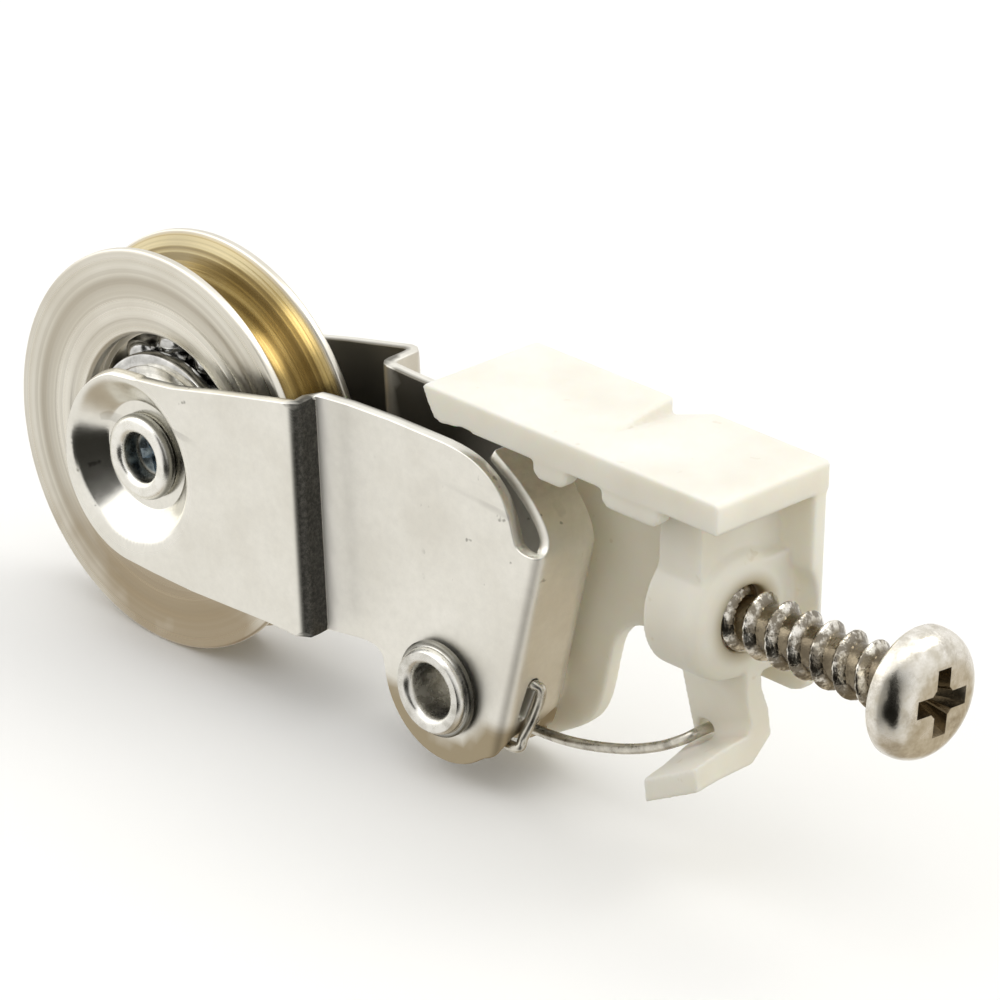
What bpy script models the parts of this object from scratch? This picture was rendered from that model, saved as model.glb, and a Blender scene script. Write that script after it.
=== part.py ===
"""Adjustable sliding door roller.

The frame is: X along the adjusting screw towards its head, Y across the roller,
Z up.  Lengths below are in millimetres from the wheel's axle; make_object moves
them to metres, with the origin at the middle of the housing's seat on top.
"""
import math

import bmesh
import bpy
from mathutils import Vector

MM = 0.001
SEAT = Vector((38.0, 0.0, 16.2))      # middle of the housing's top seat, from the axle
GAP = 0.3                             # clearance between neighbouring pieces

# Wheel and ball bearing
WHEEL_RADIUS = 15.875
WHEEL_HALF_WIDTH = 3.36
GROOVE_FLOOR_RADIUS = 11.0
BEARING_MOUTH_RADIUS = 9.35
BALL_RADIUS = 1.5875
BALL_ORBIT_RADIUS = 7.7
BALL_COUNT = 12
RACE_RADIUS = 1.85                    # radius of the race grooves round the balls
AXLE_BORE_RADIUS = 2.7
CONE_DISC_RADIUS = 7.6

# Folded channel
SHEET = 1.0
WIDE_FACE_Y = 6.7                     # outer faces of the wide part
NARROW_NEAR_Y = -4.2                  # outer faces of the narrow part
NARROW_FAR_Y = 3.0
JOG_X = 18.3                          # middle of the jogs at axle height
JOG_LEAN = -0.095                     # x per z
WEB_X = 40.19                         # outer face of the web at axle height
WEB_LEAN = 0.22
NEAR_BEND_RADIUS = 1.6
FAR_BEND_RADIUS = 2.2
FRAME_END = (0.55, -0.45, 7.7)        # x, z, radius of the round end at the axle
PIVOT = (31.75, -8.3)                 # x, z of the pivot rivet
LUG_RADIUS = 6.25
DISH_MOUTH_RADIUS = 6.5
DISH_FLOOR_RADIUS = 4.6
DISH_FLOOR_Y = 5.2
PIVOT_BORE_RADIUS = 2.9
TONGUE_Y = (-2.4, 1.4)

# Housing
HOUSING_X = (31.7, 59.8)
HOUSING_HALF_WIDTH = 5.8
TOP_Z = 16.2
PLATE_THICKNESS = 2.4
WALL_Y = (4.35, 5.8)
SCREW_Z = 5.0
BOSS_RADIUS = 5.1
BOSS_X = (52.4, 57.7)
BOSS_BORE_RADIUS = 2.75
WALL_BOTTOM_Z = -1.9
HOOK_X = (51.2, 57.6)
SPRING_HOLE = (52.7, -6.1)            # x, z of the hole in the hook

# Adjusting screw
SCREW_TIP_X = 54.0
SCREW_HEAD_X = 73.0                   # underside of the head
SCREW_HEAD_RADIUS = 4.85
SCREW_HEAD_HEIGHT = 2.9
THREAD_MAJOR = 2.4
THREAD_MINOR = 1.75
THREAD_PITCH = 2.1

# Torsion spring
WIRE_RADIUS = 0.475
COIL_RADIUS = 3.4
COIL_TURNS = 2.75
COIL_Y = (-2.4, 0.9)

COLOURS = {
    "nylon": ((0.83, 0.79, 0.70, 1.0), 0.45, 0.0),
    "zinc": ((0.74, 0.73, 0.69, 1.0), 0.32, 1.0),
    "yellow_zinc": ((0.62, 0.53, 0.33, 1.0), 0.30, 1.0),
    "bearing": ((0.62, 0.62, 0.61, 1.0), 0.18, 1.0),
    "spring": ((0.42, 0.40, 0.37, 1.0), 0.32, 1.0),
    "nickel": ((0.72, 0.69, 0.62, 1.0), 0.22, 1.0),
}


def clear_scene():
    for item in list(bpy.data.objects):
        bpy.data.objects.remove(item, do_unlink=True)


def make_material(name, finish):
    colour, roughness, metallic = COLOURS[finish]
    material = bpy.data.materials.new(name)
    material.use_nodes = True
    shader = material.node_tree.nodes["Principled BSDF"]
    shader.inputs["Base Color"].default_value = colour
    shader.inputs["Roughness"].default_value = roughness
    shader.inputs["Metallic"].default_value = metallic
    return material


def place(point):
    """Millimetres from the axle to metres from the seat."""
    return (Vector(point) - SEAT) * MM


def make_object(name, points, faces, finish=None, origin=(0.0, 0.0, 0.0), smooth=35.0):
    """A mesh object whose points are given in millimetres from the axle."""
    centre = place(origin)
    mesh = bpy.data.meshes.new(name)
    mesh.from_pydata([place(p) - centre for p in points], [], faces)
    tool = bmesh.new()
    tool.from_mesh(mesh)
    bmesh.ops.remove_doubles(tool, verts=tool.verts, dist=0.000001)
    bmesh.ops.recalc_face_normals(tool, faces=tool.faces)
    tool.to_mesh(mesh)
    tool.free()
    if smooth:
        mesh.shade_smooth()
        mesh.set_sharp_from_angle(angle=math.radians(smooth))
    item = bpy.data.objects.new(name, mesh)
    item.location = centre
    bpy.context.scene.collection.objects.link(item)
    if finish:
        mesh.materials.append(make_material(name + "_finish", finish))
    return item


def helper(name, points, faces, origin=(0.0, 0.0, 0.0)):
    """A shape that only cuts or joins another one."""
    item = make_object(name, points, faces, origin=origin, smooth=None)
    item.hide_render = True
    item.display_type = "WIRE"
    return item


def combine(item, tool, operation):
    modifier = item.modifiers.new(tool.name, "BOOLEAN")
    modifier.operation = operation
    modifier.solver = "EXACT"
    modifier.object = tool


def loft(rings):
    """Closed body through rings of equal length, with flat ends."""
    count = len(rings[0])
    points = [p for ring in rings for p in ring]
    faces = []
    for level in range(len(rings) - 1):
        for i in range(count):
            a = level * count + i
            b = level * count + (i + 1) % count
            faces.append((a, b, b + count, a + count))
    faces.append(tuple(reversed(range(count))))
    faces.append(tuple(range((len(rings) - 1) * count, len(rings) * count)))
    return points, faces


def prism_y(outline, y0, y1):
    return loft([[(x, y0, z) for x, z in outline], [(x, y1, z) for x, z in outline]])


def box(x, y, z):
    outline = [(x[0], z[0]), (x[1], z[0]), (x[1], z[1]), (x[0], z[1])]
    return prism_y(outline, y[0], y[1])


def turn(profile, axis, centre, segments):
    """Turn a closed profile of (radius, along) about X or Y through centre."""
    points = []
    rows = []
    for radius, along in profile:
        row = []
        steps = 1 if radius < 1e-6 else segments
        for i in range(steps):
            angle = 2.0 * math.pi * i / segments
            u = radius * math.cos(angle)
            v = radius * math.sin(angle)
            if axis == "Y":
                point = (centre[0] + u, centre[1] + along, centre[2] + v)
            else:
                point = (centre[0] + along, centre[1] + u, centre[2] + v)
            row.append(len(points))
            points.append(point)
        rows.append(row)
    faces = []
    for k in range(len(rows)):
        low, high = rows[k], rows[(k + 1) % len(rows)]
        if len(low) == 1 and len(high) == 1:
            continue
        for i in range(segments):
            j = (i + 1) % segments
            if len(low) == 1:
                faces.append((low[0], high[j], high[i]))
            elif len(high) == 1:
                faces.append((low[i], low[j], high[0]))
            else:
                faces.append((low[i], low[j], high[j], high[i]))
    return points, faces


def cylinder(radius, axis, centre, start, end, segments=48):
    """A solid cylinder from start to end along its axis."""
    rings = []
    for along in (start, end):
        ring = []
        for i in range(segments):
            angle = 2.0 * math.pi * (i + 0.5) / segments
            u, v = radius * math.cos(angle), radius * math.sin(angle)
            if axis == "Y":
                ring.append((centre[0] + u, along, centre[2] + v))
            else:
                ring.append((along, centre[1] + u, centre[2] + v))
        rings.append(ring)
    return loft(rings)


def arc(x, z, radius, start, end, steps):
    """Points on a circle, angles in degrees."""
    out = []
    for i in range(steps + 1):
        angle = math.radians(start + (end - start) * i / steps)
        out.append((x + radius * math.cos(angle), z + radius * math.sin(angle)))
    return out


def ribbon(path, widths):
    """Outline of a strip that follows a path of (u, v) points."""
    left, right = [], []
    for i, (u, v) in enumerate(path):
        before = path[max(i - 1, 0)]
        after = path[min(i + 1, len(path) - 1)]
        du, dv = after[0] - before[0], after[1] - before[1]
        size = math.hypot(du, dv)
        nu, nv = -dv / size, du / size
        half = widths[i] / 2.0
        left.append((u + nu * half, v + nv * half))
        right.append((u - nu * half, v - nv * half))
    return left + right[::-1]


def smooth_path(points, steps):
    """Catmull-Rom curve through the points."""
    out = []
    for i in range(len(points) - 1):
        p0 = points[max(i - 1, 0)]
        p1, p2 = points[i], points[i + 1]
        p3 = points[min(i + 2, len(points) - 1)]
        for s in range(steps):
            t = s / steps
            out.append(tuple(
                0.5 * (2 * b + (c - a) * t + (2 * a - 5 * b + 4 * c - d) * t * t
                       + (3 * b - a - 3 * c + d) * t ** 3)
                for a, b, c, d in zip(p0, p1, p2, p3)))
    out.append(tuple(points[-1]))
    return out


def build_wheel():
    half = WHEEL_HALF_WIDTH
    mouth = BEARING_MOUTH_RADIUS
    side = [(mouth, -half + 0.1), (9.0, -half + 0.5), (9.0, -1.32)]
    race = []
    for i in range(7):
        y = -1.3 + 2.6 * i / 6
        race.append((BALL_ORBIT_RADIUS + math.sqrt(RACE_RADIUS ** 2 - y * y), y))
    flange = [(13.6, half - 0.25), (15.3, half), (WHEEL_RADIUS - 0.12, half - 0.2),
              (WHEEL_RADIUS, half - 0.5), (WHEEL_RADIUS - 0.25, half - 0.95),
              (14.2, 2.0), (12.6, 1.5), (11.4, 0.95)]
    profile = side + race + [(r, -y) for r, y in reversed(side)]
    profile += [(10.6, half - 0.05), (11.4, half - 0.35)] + flange
    profile += [(GROOVE_FLOOR_RADIUS, 0.0)]
    profile += [(r, -y) for r, y in reversed(flange)]
    profile += [(11.4, -half + 0.35), (10.6, -half + 0.05)]
    points, faces = turn(profile, "Y", (0, 0, 0), 52)
    make_object("wheel", points, faces, "yellow_zinc")


def build_bearing():
    groove = []
    for i in range(6):
        y = 0.15 + 1.55 * i / 5
        groove.append((BALL_ORBIT_RADIUS - math.sqrt(RACE_RADIUS ** 2 - y * y), y))
    cone = [(AXLE_BORE_RADIUS, 0.15)] + groove
    cone += [(7.3, 1.95), (CONE_DISC_RADIUS, 2.0), (CONE_DISC_RADIUS, 2.9), (7.3, 3.15),
             (5.0, 3.45), (4.4, DISH_FLOOR_Y - SHEET - GAP),
             (AXLE_BORE_RADIUS, DISH_FLOOR_Y - SHEET - GAP)]
    for name, side in (("near_race_cone", -1.0), ("far_race_cone", 1.0)):
        points, faces = turn([(r, side * y) for r, y in cone], "Y", (0, 0, 0), 32)
        make_object(name, points, faces, "bearing")
    for i in range(BALL_COUNT):
        angle = 2.0 * math.pi * (i + 0.35) / BALL_COUNT
        centre = (BALL_ORBIT_RADIUS * math.cos(angle), 0.0, BALL_ORBIT_RADIUS * math.sin(angle))
        arcs = [(BALL_RADIUS * math.sin(math.pi * k / 8), -BALL_RADIUS * math.cos(math.pi * k / 8))
                for k in range(9)]
        points, faces = turn(arcs, "Y", centre, 12)
        make_object("ball_%02d" % (i + 1), points, faces, "bearing", smooth=180.0)


def build_axle():
    clear = DISH_FLOOR_Y + GAP
    near = [(0.0, -4.2), (1.3, -4.3), (1.75, -4.7), (1.95, -6.0), (2.15, -6.35), (2.6, -6.4),
            (2.95, -6.15), (2.95, -clear - 0.1), (2.8, -clear), (2.4, -clear)]
    far = [(2.4, clear), (3.4, clear), (3.45, clear + 0.35), (2.9, clear + 0.75), (0.0, clear + 0.9)]
    points, faces = turn(near + far, "Y", (0, 0, 0), 28)
    make_object("axle_rivet", points, faces, "zinc")


def jog(x, y_from, y_to, half_length):
    """Middle line of the sheet as it steps sideways at x."""
    line = []
    for i in range(7):
        t = i / 6
        ease = t * t * (3.0 - 2.0 * t)
        line.append((x - half_length + 2.0 * half_length * t, y_from + (y_to - y_from) * ease))
    return line


def channel_section(z):
    """Closed outline, seen from above, of the folded channel at height z."""
    xj = JOG_X + JOG_LEAN * z
    xw = WEB_X + WEB_LEAN * z
    half = SHEET / 2.0
    line = [(-9.0, -WIDE_FACE_Y + half)]
    line += jog(xj, -WIDE_FACE_Y + half, NARROW_NEAR_Y + half, 0.95)
    radius = NEAR_BEND_RADIUS - half
    centre = (xw - half - radius, NARROW_NEAR_Y + half + radius)
    line += arc(centre[0], centre[1], radius, -90, 0, 4)
    radius = FAR_BEND_RADIUS - half
    centre = (xw - half - radius, NARROW_FAR_Y - half - radius)
    line += arc(centre[0], centre[1], radius, 0, 90, 5)
    line += jog(xj, WIDE_FACE_Y - half, NARROW_FAR_Y - half, 1.15)[::-1]
    line += [(-9.0, WIDE_FACE_Y - half)]
    return [(x, y, z) for x, y in ribbon(line, [SHEET] * len(line))]


def frame_outline():
    """Side view of both plates: round end, sloping top, shoulder, web and pivot lug."""
    x, z, radius = FRAME_END
    outline = arc(x, z, radius, 110, 265, 22)
    outline += [(7.3, -8.3), (15.5, -7.95), (19.4, -7.95), (22.9, -7.45), (24.4, -7.45), (25.4, -7.9)]
    outline += arc(31.9, -8.0, LUG_RADIUS, 188, 346, 22)
    outline += [(44.0, -9.5), (44.0, 4.45), (40.2, 4.45), (39.3, 4.9), (38.85, 5.7)]
    outline += [(38.45, 7.2), (37.6, 8.7), (36.3, 9.95), (34.6, 10.75), (31.5, 11.2), (26.0, 11.2)]
    outline += [(21.0, 10.95), (17.2, 10.5)]
    return outline


def build_frame():
    origin = (PIVOT[0], 0.0, PIVOT[1])
    points, faces = loft([channel_section(-16.0), channel_section(13.0)])
    frame = make_object("swing_frame", points, faces, "zinc", origin=origin)
    trim = helper("frame_side_view", *prism_y(frame_outline(), -9.0, 9.0))
    combine(frame, trim, "INTERSECT")
    for name, side in (("near", -1.0), ("far", 1.0)):
        ends = sorted((side * (WIDE_FACE_Y - SHEET - 0.6), side * (WIDE_FACE_Y + 1.0)))
        mouth = helper(name + "_dish_mouth",
                       *cylinder(DISH_MOUTH_RADIUS, "Y", (0, 0, 0), ends[0], ends[1], 40))
        combine(frame, mouth, "DIFFERENCE")
        outer = WIDE_FACE_Y - 0.06
        floor = DISH_FLOOR_Y
        dish = [(AXLE_BORE_RADIUS, floor), (DISH_FLOOR_RADIUS, floor), (DISH_MOUTH_RADIUS - 0.35, outer),
                (DISH_MOUTH_RADIUS + 0.25, outer), (DISH_MOUTH_RADIUS + 0.25, outer - SHEET + 0.12),
                (DISH_MOUTH_RADIUS - 0.1, outer - SHEET + 0.12), (DISH_FLOOR_RADIUS + 0.35, floor - SHEET),
                (AXLE_BORE_RADIUS, floor - SHEET)]
        cone = helper(name + "_dish", *turn([(r, side * y) for r, y in dish], "Y", (0, 0, 0), 40))
        combine(frame, cone, "UNION")
    below_web = helper("below_web", *box((33.0, 45.0), (NARROW_NEAR_Y + 1.35, NARROW_FAR_Y - 1.35), (-16.0, -9.5)))
    combine(frame, below_web, "DIFFERENCE")
    web_low, web_high = 3.4, 5.2
    path = [(WEB_X + WEB_LEAN * web_low - 0.5, web_low), (WEB_X + WEB_LEAN * web_high - 0.5, web_high),
            (40.65, 6.3), (40.0, 7.4), (38.8, 8.7), (37.1, 10.05), (35.3, 11.3)]
    sheet = ribbon(path, [SHEET - 0.2] * len(path))
    tongue = helper("tongue", *prism_y(sheet, TONGUE_Y[0], TONGUE_Y[1]))
    combine(frame, tongue, "UNION")
    bore = helper("frame_pivot_bore",
                  *cylinder(PIVOT_BORE_RADIUS, "Y", (PIVOT[0], 0, PIVOT[1]), -9.0, 9.0, 32))
    combine(frame, bore, "DIFFERENCE")


def build_pivot():
    near = NARROW_NEAR_Y - 0.25
    far = HOUSING_HALF_WIDTH + GAP
    profile = [(2.05, near - 1.2), (2.45, near - 1.4), (3.0, near - 1.4), (3.37, near - 1.1),
               (3.37, near - 0.6), (3.75, near - 0.5), (3.75, near - 0.05), (3.65, near),
               (2.6, near), (2.6, far), (3.7, far), (3.7, far + 0.35), (3.3, far + 0.6),
               (2.3, far + 0.6), (2.0, far + 0.4)]
    points, faces = turn(profile, "Y", (PIVOT[0], 0, PIVOT[1]), 32)
    make_object("pivot_rivet", points, faces, "zinc", origin=(PIVOT[0], 0.0, PIVOT[1]))


def hook_ring(x, foot_y, corner, foot):
    """One cross section of the tail hook: a limb down from the boss, then a foot."""
    path = [(1.15, 1.0), (1.25, -1.2), (corner[0] - 0.35, corner[1] + 2.2),
            (corner[0] - 0.15, corner[1] + 0.6), (corner[0] - 1.2, corner[1] - 0.35),
            (foot_y + 2.2, foot + 0.35), (foot_y, foot)]
    widths = [1.7, 1.7, 2.0, 2.5, 2.6, 2.3, 2.1]
    return [(x, y, z) for y, z in ribbon(path, widths)]


def build_housing():
    low_z = TOP_Z - PLATE_THICKNESS
    x0, x1 = HOUSING_X
    side_view = [(x0, TOP_Z - 0.3), (x0, low_z + 1.2), (x0 + 0.5, low_z + 0.35), (x0 + 1.4, low_z),
                 (x1, low_z), (x1, TOP_Z - 0.3), (x1 - 0.3, TOP_Z), (x0 + 0.3, TOP_Z)]
    points, faces = prism_y(side_view, -HOUSING_HALF_WIDTH, HOUSING_HALF_WIDTH)
    housing = make_object("nylon_housing", points, faces, "nylon")

    wall = [(x1 - 0.05, TOP_Z - 0.6), (x0 + 0.7, TOP_Z - 0.6), (x0 + 0.4, 4.5), (28.4, -4.2)]
    wall += arc(PIVOT[0], PIVOT[1], 6.6, 155, 305, 16)
    wall += [(37.6, -12.4), (38.9, -11.2), (39.7, -9.8), (40.2, -8.0), (40.6, -6.0), (41.1, -4.1),
             (42.0, -2.9), (43.2, -2.15), (44.6, WALL_BOTTOM_Z), (58.5, WALL_BOTTOM_Z),
             (59.3, -1.5), (x1 - 0.05, -0.7)]
    parts = [("side_wall", prism_y(wall, WALL_Y[0], WALL_Y[1] - 0.04))]
    lug = cylinder(4.4, "Y", (PIVOT[0], 0, PIVOT[1]), NARROW_FAR_Y + GAP, WALL_Y[0] + 0.5, 36)
    parts.append(("pivot_lug", lug))
    boss = cylinder(BOSS_RADIUS, "X", (0, 0, SCREW_Z), BOSS_X[0], BOSS_X[1], 48)
    parts.append(("screw_boss", boss))
    parts.append(("boss_web", box((BOSS_X[0] + 0.1, 56.6), (-3.8, WALL_Y[0] + 0.3), (SCREW_Z, low_z + 0.6))))
    parts.append(("boss_block", box((BOSS_X[0] + 0.15, BOSS_X[1] - 0.1), (0.4, WALL_Y[0] + 0.35), (0.1, 9.0))))
    for name, start, end in (("front_rib", 41.9, 45.2), ("rear_rib", 48.6, 54.2)):
        rib = [(start, low_z + 0.5), (start, low_z - 0.9), (start + 0.6, low_z - 1.4),
               (end - 0.6, low_z - 1.4), (end, low_z - 0.9), (end, low_z + 0.5)]
        parts.append((name, prism_y(rib, -HOUSING_HALF_WIDTH + 0.06, -4.4)))
    rings = [hook_ring(HOOK_X[0], -3.0, (3.2, -8.5), -10.0), hook_ring(HOOK_X[1], -4.6, (2.3, -5.4), -6.3)]
    parts.append(("tail_hook", loft(rings)))
    for name, shape in parts:
        combine(housing, helper(name, *shape), "UNION")

    bore = helper("screw_bore", *cylinder(BOSS_BORE_RADIUS, "X", (0, 0, SCREW_Z), 45.0, 62.0, 36))
    combine(housing, bore, "DIFFERENCE")
    relief = helper("head_relief", *cylinder(SCREW_HEAD_RADIUS + 0.4, "X", (0, 0, SCREW_Z), BOSS_X[1] + 0.05, 62.0, 48))
    combine(housing, relief, "DIFFERENCE")
    centre = (PIVOT[0], 0, PIVOT[1])
    bore = helper("housing_pivot_bore", *cylinder(PIVOT_BORE_RADIUS, "Y", centre, 1.0, 9.0, 36))
    combine(housing, bore, "DIFFERENCE")
    centre = (SPRING_HOLE[0], 0, SPRING_HOLE[1])
    bore = helper("spring_hole", *cylinder(WIRE_RADIUS + GAP + 0.05, "Y", centre, -0.6, 8.0, 16))
    combine(housing, bore, "DIFFERENCE")
    deep, rise = 1.5, 4.8
    shallow_end = [(46.1, -1.9, TOP_Z - 0.15), (46.1 + rise, -1.9, TOP_Z + 0.5), (46.1, -1.9, TOP_Z + 1.5)]
    open_end = [(44.6, 6.4, TOP_Z - deep), (44.6 + rise * 1.25, 6.4, TOP_Z + 0.5), (44.6, 6.4, TOP_Z + 1.5)]
    combine(housing, helper("top_ramp", *loft([shallow_end, open_end])), "DIFFERENCE")


def thread_radius(x, angle):
    """Radius of the thread at a distance x from the tip and an angle round the screw."""
    turns = (x / THREAD_PITCH - angle / (2.0 * math.pi)) % 1.0
    crest = max(0.0, 1.0 - abs(turns - 0.5) / 0.36)
    taper = min(1.0, (x + 0.25) / 2.2)
    return (THREAD_MINOR + (THREAD_MAJOR - THREAD_MINOR) * min(1.0, crest * 1.25)) * taper


def build_screw():
    segments = 16
    length = SCREW_HEAD_X - SCREW_TIP_X
    rows = []
    samples = 44
    for k in range(samples + 1):
        x = (length - 0.5) * k / samples
        rows.append([(x, thread_radius(x, 2.0 * math.pi * i / segments)) for i in range(segments)])
    head = [(length, 2.1), (length, SCREW_HEAD_RADIUS - 0.15), (length + 0.2, SCREW_HEAD_RADIUS)]
    for k in range(1, 6):
        bend = math.radians(90.0 * k / 5)
        head.append((length + 0.6 + (SCREW_HEAD_HEIGHT - 0.6) * math.sin(bend),
                     SCREW_HEAD_RADIUS * (0.58 + 0.42 * math.cos(bend))))
    for x, radius in head:
        rows.append([(x, radius)] * segments)
    points = []
    for row in rows:
        for i, (x, radius) in enumerate(row):
            angle = 2.0 * math.pi * i / segments
            points.append((SCREW_TIP_X + x, radius * math.cos(angle), SCREW_Z + radius * math.sin(angle)))
    faces = []
    for k in range(len(rows) - 1):
        for i in range(segments):
            j = (i + 1) % segments
            a, b = k * segments + i, k * segments + j
            faces.append((a, b, b + segments, a + segments))
    faces.append(tuple(range(segments)))
    faces.append(tuple(range((len(rows) - 1) * segments, len(rows) * segments)))
    origin = (SCREW_HEAD_X, 0.0, SCREW_Z)
    screw = make_object("adjusting_screw", points, faces, "nickel", origin=origin)
    top = SCREW_HEAD_X + SCREW_HEAD_HEIGHT
    for name, turn_angle in (("recess_upright", 12.0), ("recess_level", 102.0)):
        rings = []
        for depth, reach, half in ((-1.9, 0.75, 0.3), (0.6, 2.35, 0.55)):
            ring = []
            for u, v in ((-reach, -half), (reach, -half), (reach, half), (-reach, half)):
                c, s = math.cos(math.radians(turn_angle)), math.sin(math.radians(turn_angle))
                ring.append((top + depth, u * c - v * s, SCREW_Z + u * s + v * c))
            rings.append(ring)
        combine(screw, helper(name, *loft(rings)), "DIFFERENCE")


def spring_path():
    """Middle line of the wire: hook on the web, coil round the pivot, long leg to the tail."""
    web = WEB_X + 0.82
    hook = [(web + WEB_LEAN * -6.4, -0.85, -6.4), (web + WEB_LEAN * -8.2, -0.85, -8.2),
            (web + WEB_LEAN * -10.3, -0.95, -10.3), (38.0, -1.35, -11.9), (36.8, -1.95, -12.4),
            (35.6, COIL_Y[0], -11.6), (PIVOT[0] + COIL_RADIUS, COIL_Y[0], -10.0)]
    path = smooth_path(hook, 4)[:-1]
    steps = int(COIL_TURNS * 16)
    for i in range(steps + 1):
        angle = 2.0 * math.pi * COIL_TURNS * i / steps
        y = COIL_Y[0] + (COIL_Y[1] - COIL_Y[0]) * i / steps
        path.append((PIVOT[0] + COIL_RADIUS * math.cos(angle), y,
                     PIVOT[1] + COIL_RADIUS * math.sin(angle)))
    leg = [path[-1], (35.0, COIL_Y[1], -11.85), (40.2, 0.8, -11.4), (45.2, 0.7, -10.1),
           (49.1, 0.4, -8.4), (51.9, 0.2, -6.7), (SPRING_HOLE[0] - 0.05, 0.9, SPRING_HOLE[1]),
           (SPRING_HOLE[0], 2.6, SPRING_HOLE[1])]
    return path[:-1] + smooth_path(leg, 4)


def build_spring():
    path = [Vector(p) for p in spring_path()]
    sides = 8
    side = Vector((0.0, 1.0, 0.0))
    rings = []
    for i, point in enumerate(path):
        ahead = path[min(i + 1, len(path) - 1)] - path[max(i - 1, 0)]
        ahead.normalize()
        side = (side - ahead * side.dot(ahead)).normalized()
        other = ahead.cross(side)
        ring = []
        for k in range(sides):
            angle = 2.0 * math.pi * k / sides
            ring.append(tuple(point + (side * math.cos(angle) + other * math.sin(angle)) * WIRE_RADIUS))
        rings.append(ring)
    points, faces = loft(rings)
    make_object("torsion_spring", points, faces, "spring", origin=(PIVOT[0], 0.0, PIVOT[1]), smooth=60.0)


clear_scene()
build_wheel()
build_bearing()
build_axle()
build_frame()
build_pivot()
build_housing()
build_screw()
build_spring()
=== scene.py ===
"""Looks of the adjustable sliding door roller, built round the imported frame.

Shapes are written in millimetres from the wheel's axle (X towards the screw's head,
Y across, Z up); place() moves them to the row frame, in metres from the top seat.
"""
import math

import bmesh
import bpy
import numpy as np
from mathutils import Matrix, Vector, geometry


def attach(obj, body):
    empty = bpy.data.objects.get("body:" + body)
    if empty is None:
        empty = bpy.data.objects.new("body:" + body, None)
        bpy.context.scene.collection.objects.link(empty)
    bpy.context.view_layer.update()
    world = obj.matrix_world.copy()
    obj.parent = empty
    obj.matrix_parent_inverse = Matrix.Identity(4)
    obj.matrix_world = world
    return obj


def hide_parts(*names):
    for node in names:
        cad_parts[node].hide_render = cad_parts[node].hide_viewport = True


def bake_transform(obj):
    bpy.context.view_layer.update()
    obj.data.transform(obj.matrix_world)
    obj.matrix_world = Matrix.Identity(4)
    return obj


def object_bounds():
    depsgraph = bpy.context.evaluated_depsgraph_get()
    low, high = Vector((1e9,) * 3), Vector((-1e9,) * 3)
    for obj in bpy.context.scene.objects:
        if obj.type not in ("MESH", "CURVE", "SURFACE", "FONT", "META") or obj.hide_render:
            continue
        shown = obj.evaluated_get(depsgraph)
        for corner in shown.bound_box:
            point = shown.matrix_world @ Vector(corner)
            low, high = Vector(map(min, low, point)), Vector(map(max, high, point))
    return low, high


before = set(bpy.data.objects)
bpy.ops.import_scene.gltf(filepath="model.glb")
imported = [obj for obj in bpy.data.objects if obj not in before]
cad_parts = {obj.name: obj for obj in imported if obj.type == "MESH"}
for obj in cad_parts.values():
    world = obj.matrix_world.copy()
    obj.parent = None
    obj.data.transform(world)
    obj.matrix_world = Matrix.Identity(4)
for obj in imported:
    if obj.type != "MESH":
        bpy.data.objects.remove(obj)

MM = 0.001
SEAT = Vector((38.0, 0.0, 16.2))
CAD_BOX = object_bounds()

# Wheel and bearing
WHEEL_RADIUS = 15.86
WHEEL_HALF = 3.36
BALL_RADIUS = 1.5875
BALL_ORBIT = 7.7
BALL_COUNT = 12
BALL_PHASE = 0.35                 # of the gap between two balls
RACE_RADIUS = 1.66

# Folded channel
SHEET = 1.0
WIDE_Y = 6.19                     # middle of the sheet in the wide part
NEAR_Y = -3.7                     # middle of the narrow near plate
FAR_Y = 2.5
NEAR_JOG = (18.62, -0.085, 0.50, 98.0)   # middle at axle height, lean, bend radius, bend angle
FAR_JOG = (19.45, -0.095, 0.85, 80.0)
JOG_STEPS = 200
RUN_OUT = 3.0                     # how far beside the near jog the sheet takes to run out flat
RUN_OUT_LEAN = 0.50               # lean of its normal at the jog, in radians
WEB_X = 39.69                     # middle of the web at axle height
WEB_LEAN = 0.22
NEAR_BEND = 0.58                  # radii of the sheet's middle
FAR_BEND = 1.7
TONGUE_FOOT = 4.6                 # height where the tongue starts to curl
TONGUE_STEP = 0.1
EDGE = 0.13                       # rounding of the sheared edges
EDGE_STEPS = 4
COARSE = 0.8                      # spacing of the mesh on the flat plates
PIVOT = (31.75, -8.3)
LUG = (31.9, -8.0)                # middle and radius of the frame's lug round the pivot
LUG_RADIUS = 6.25
DISH_SLOPE = ((3.9, 0.0), (4.3, 0.05), (4.7, 0.9), (6.5, 0.9), (6.8, 0.36), (7.15, 0.3), (7.3, 0.0))
DISH_STEP = 0.05
FAR_RISE = 0.85                   # how much higher the far plate's top edge is

# Housing
HOUSING_X = (31.7, 59.8)
HOUSING_HALF = 5.8
HOUSING_VOXEL = 0.17
TOP_Z = 16.18
PLATE = 2.4
WALL_Y = (4.35, 5.8)
SCREW_Z = 5.0
BOSS_RADIUS = 5.1
BOSS_X = (52.4, 57.7)
BORE_RADIUS = 2.46
SPRING_HOLE = (52.7, -6.1)

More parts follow.
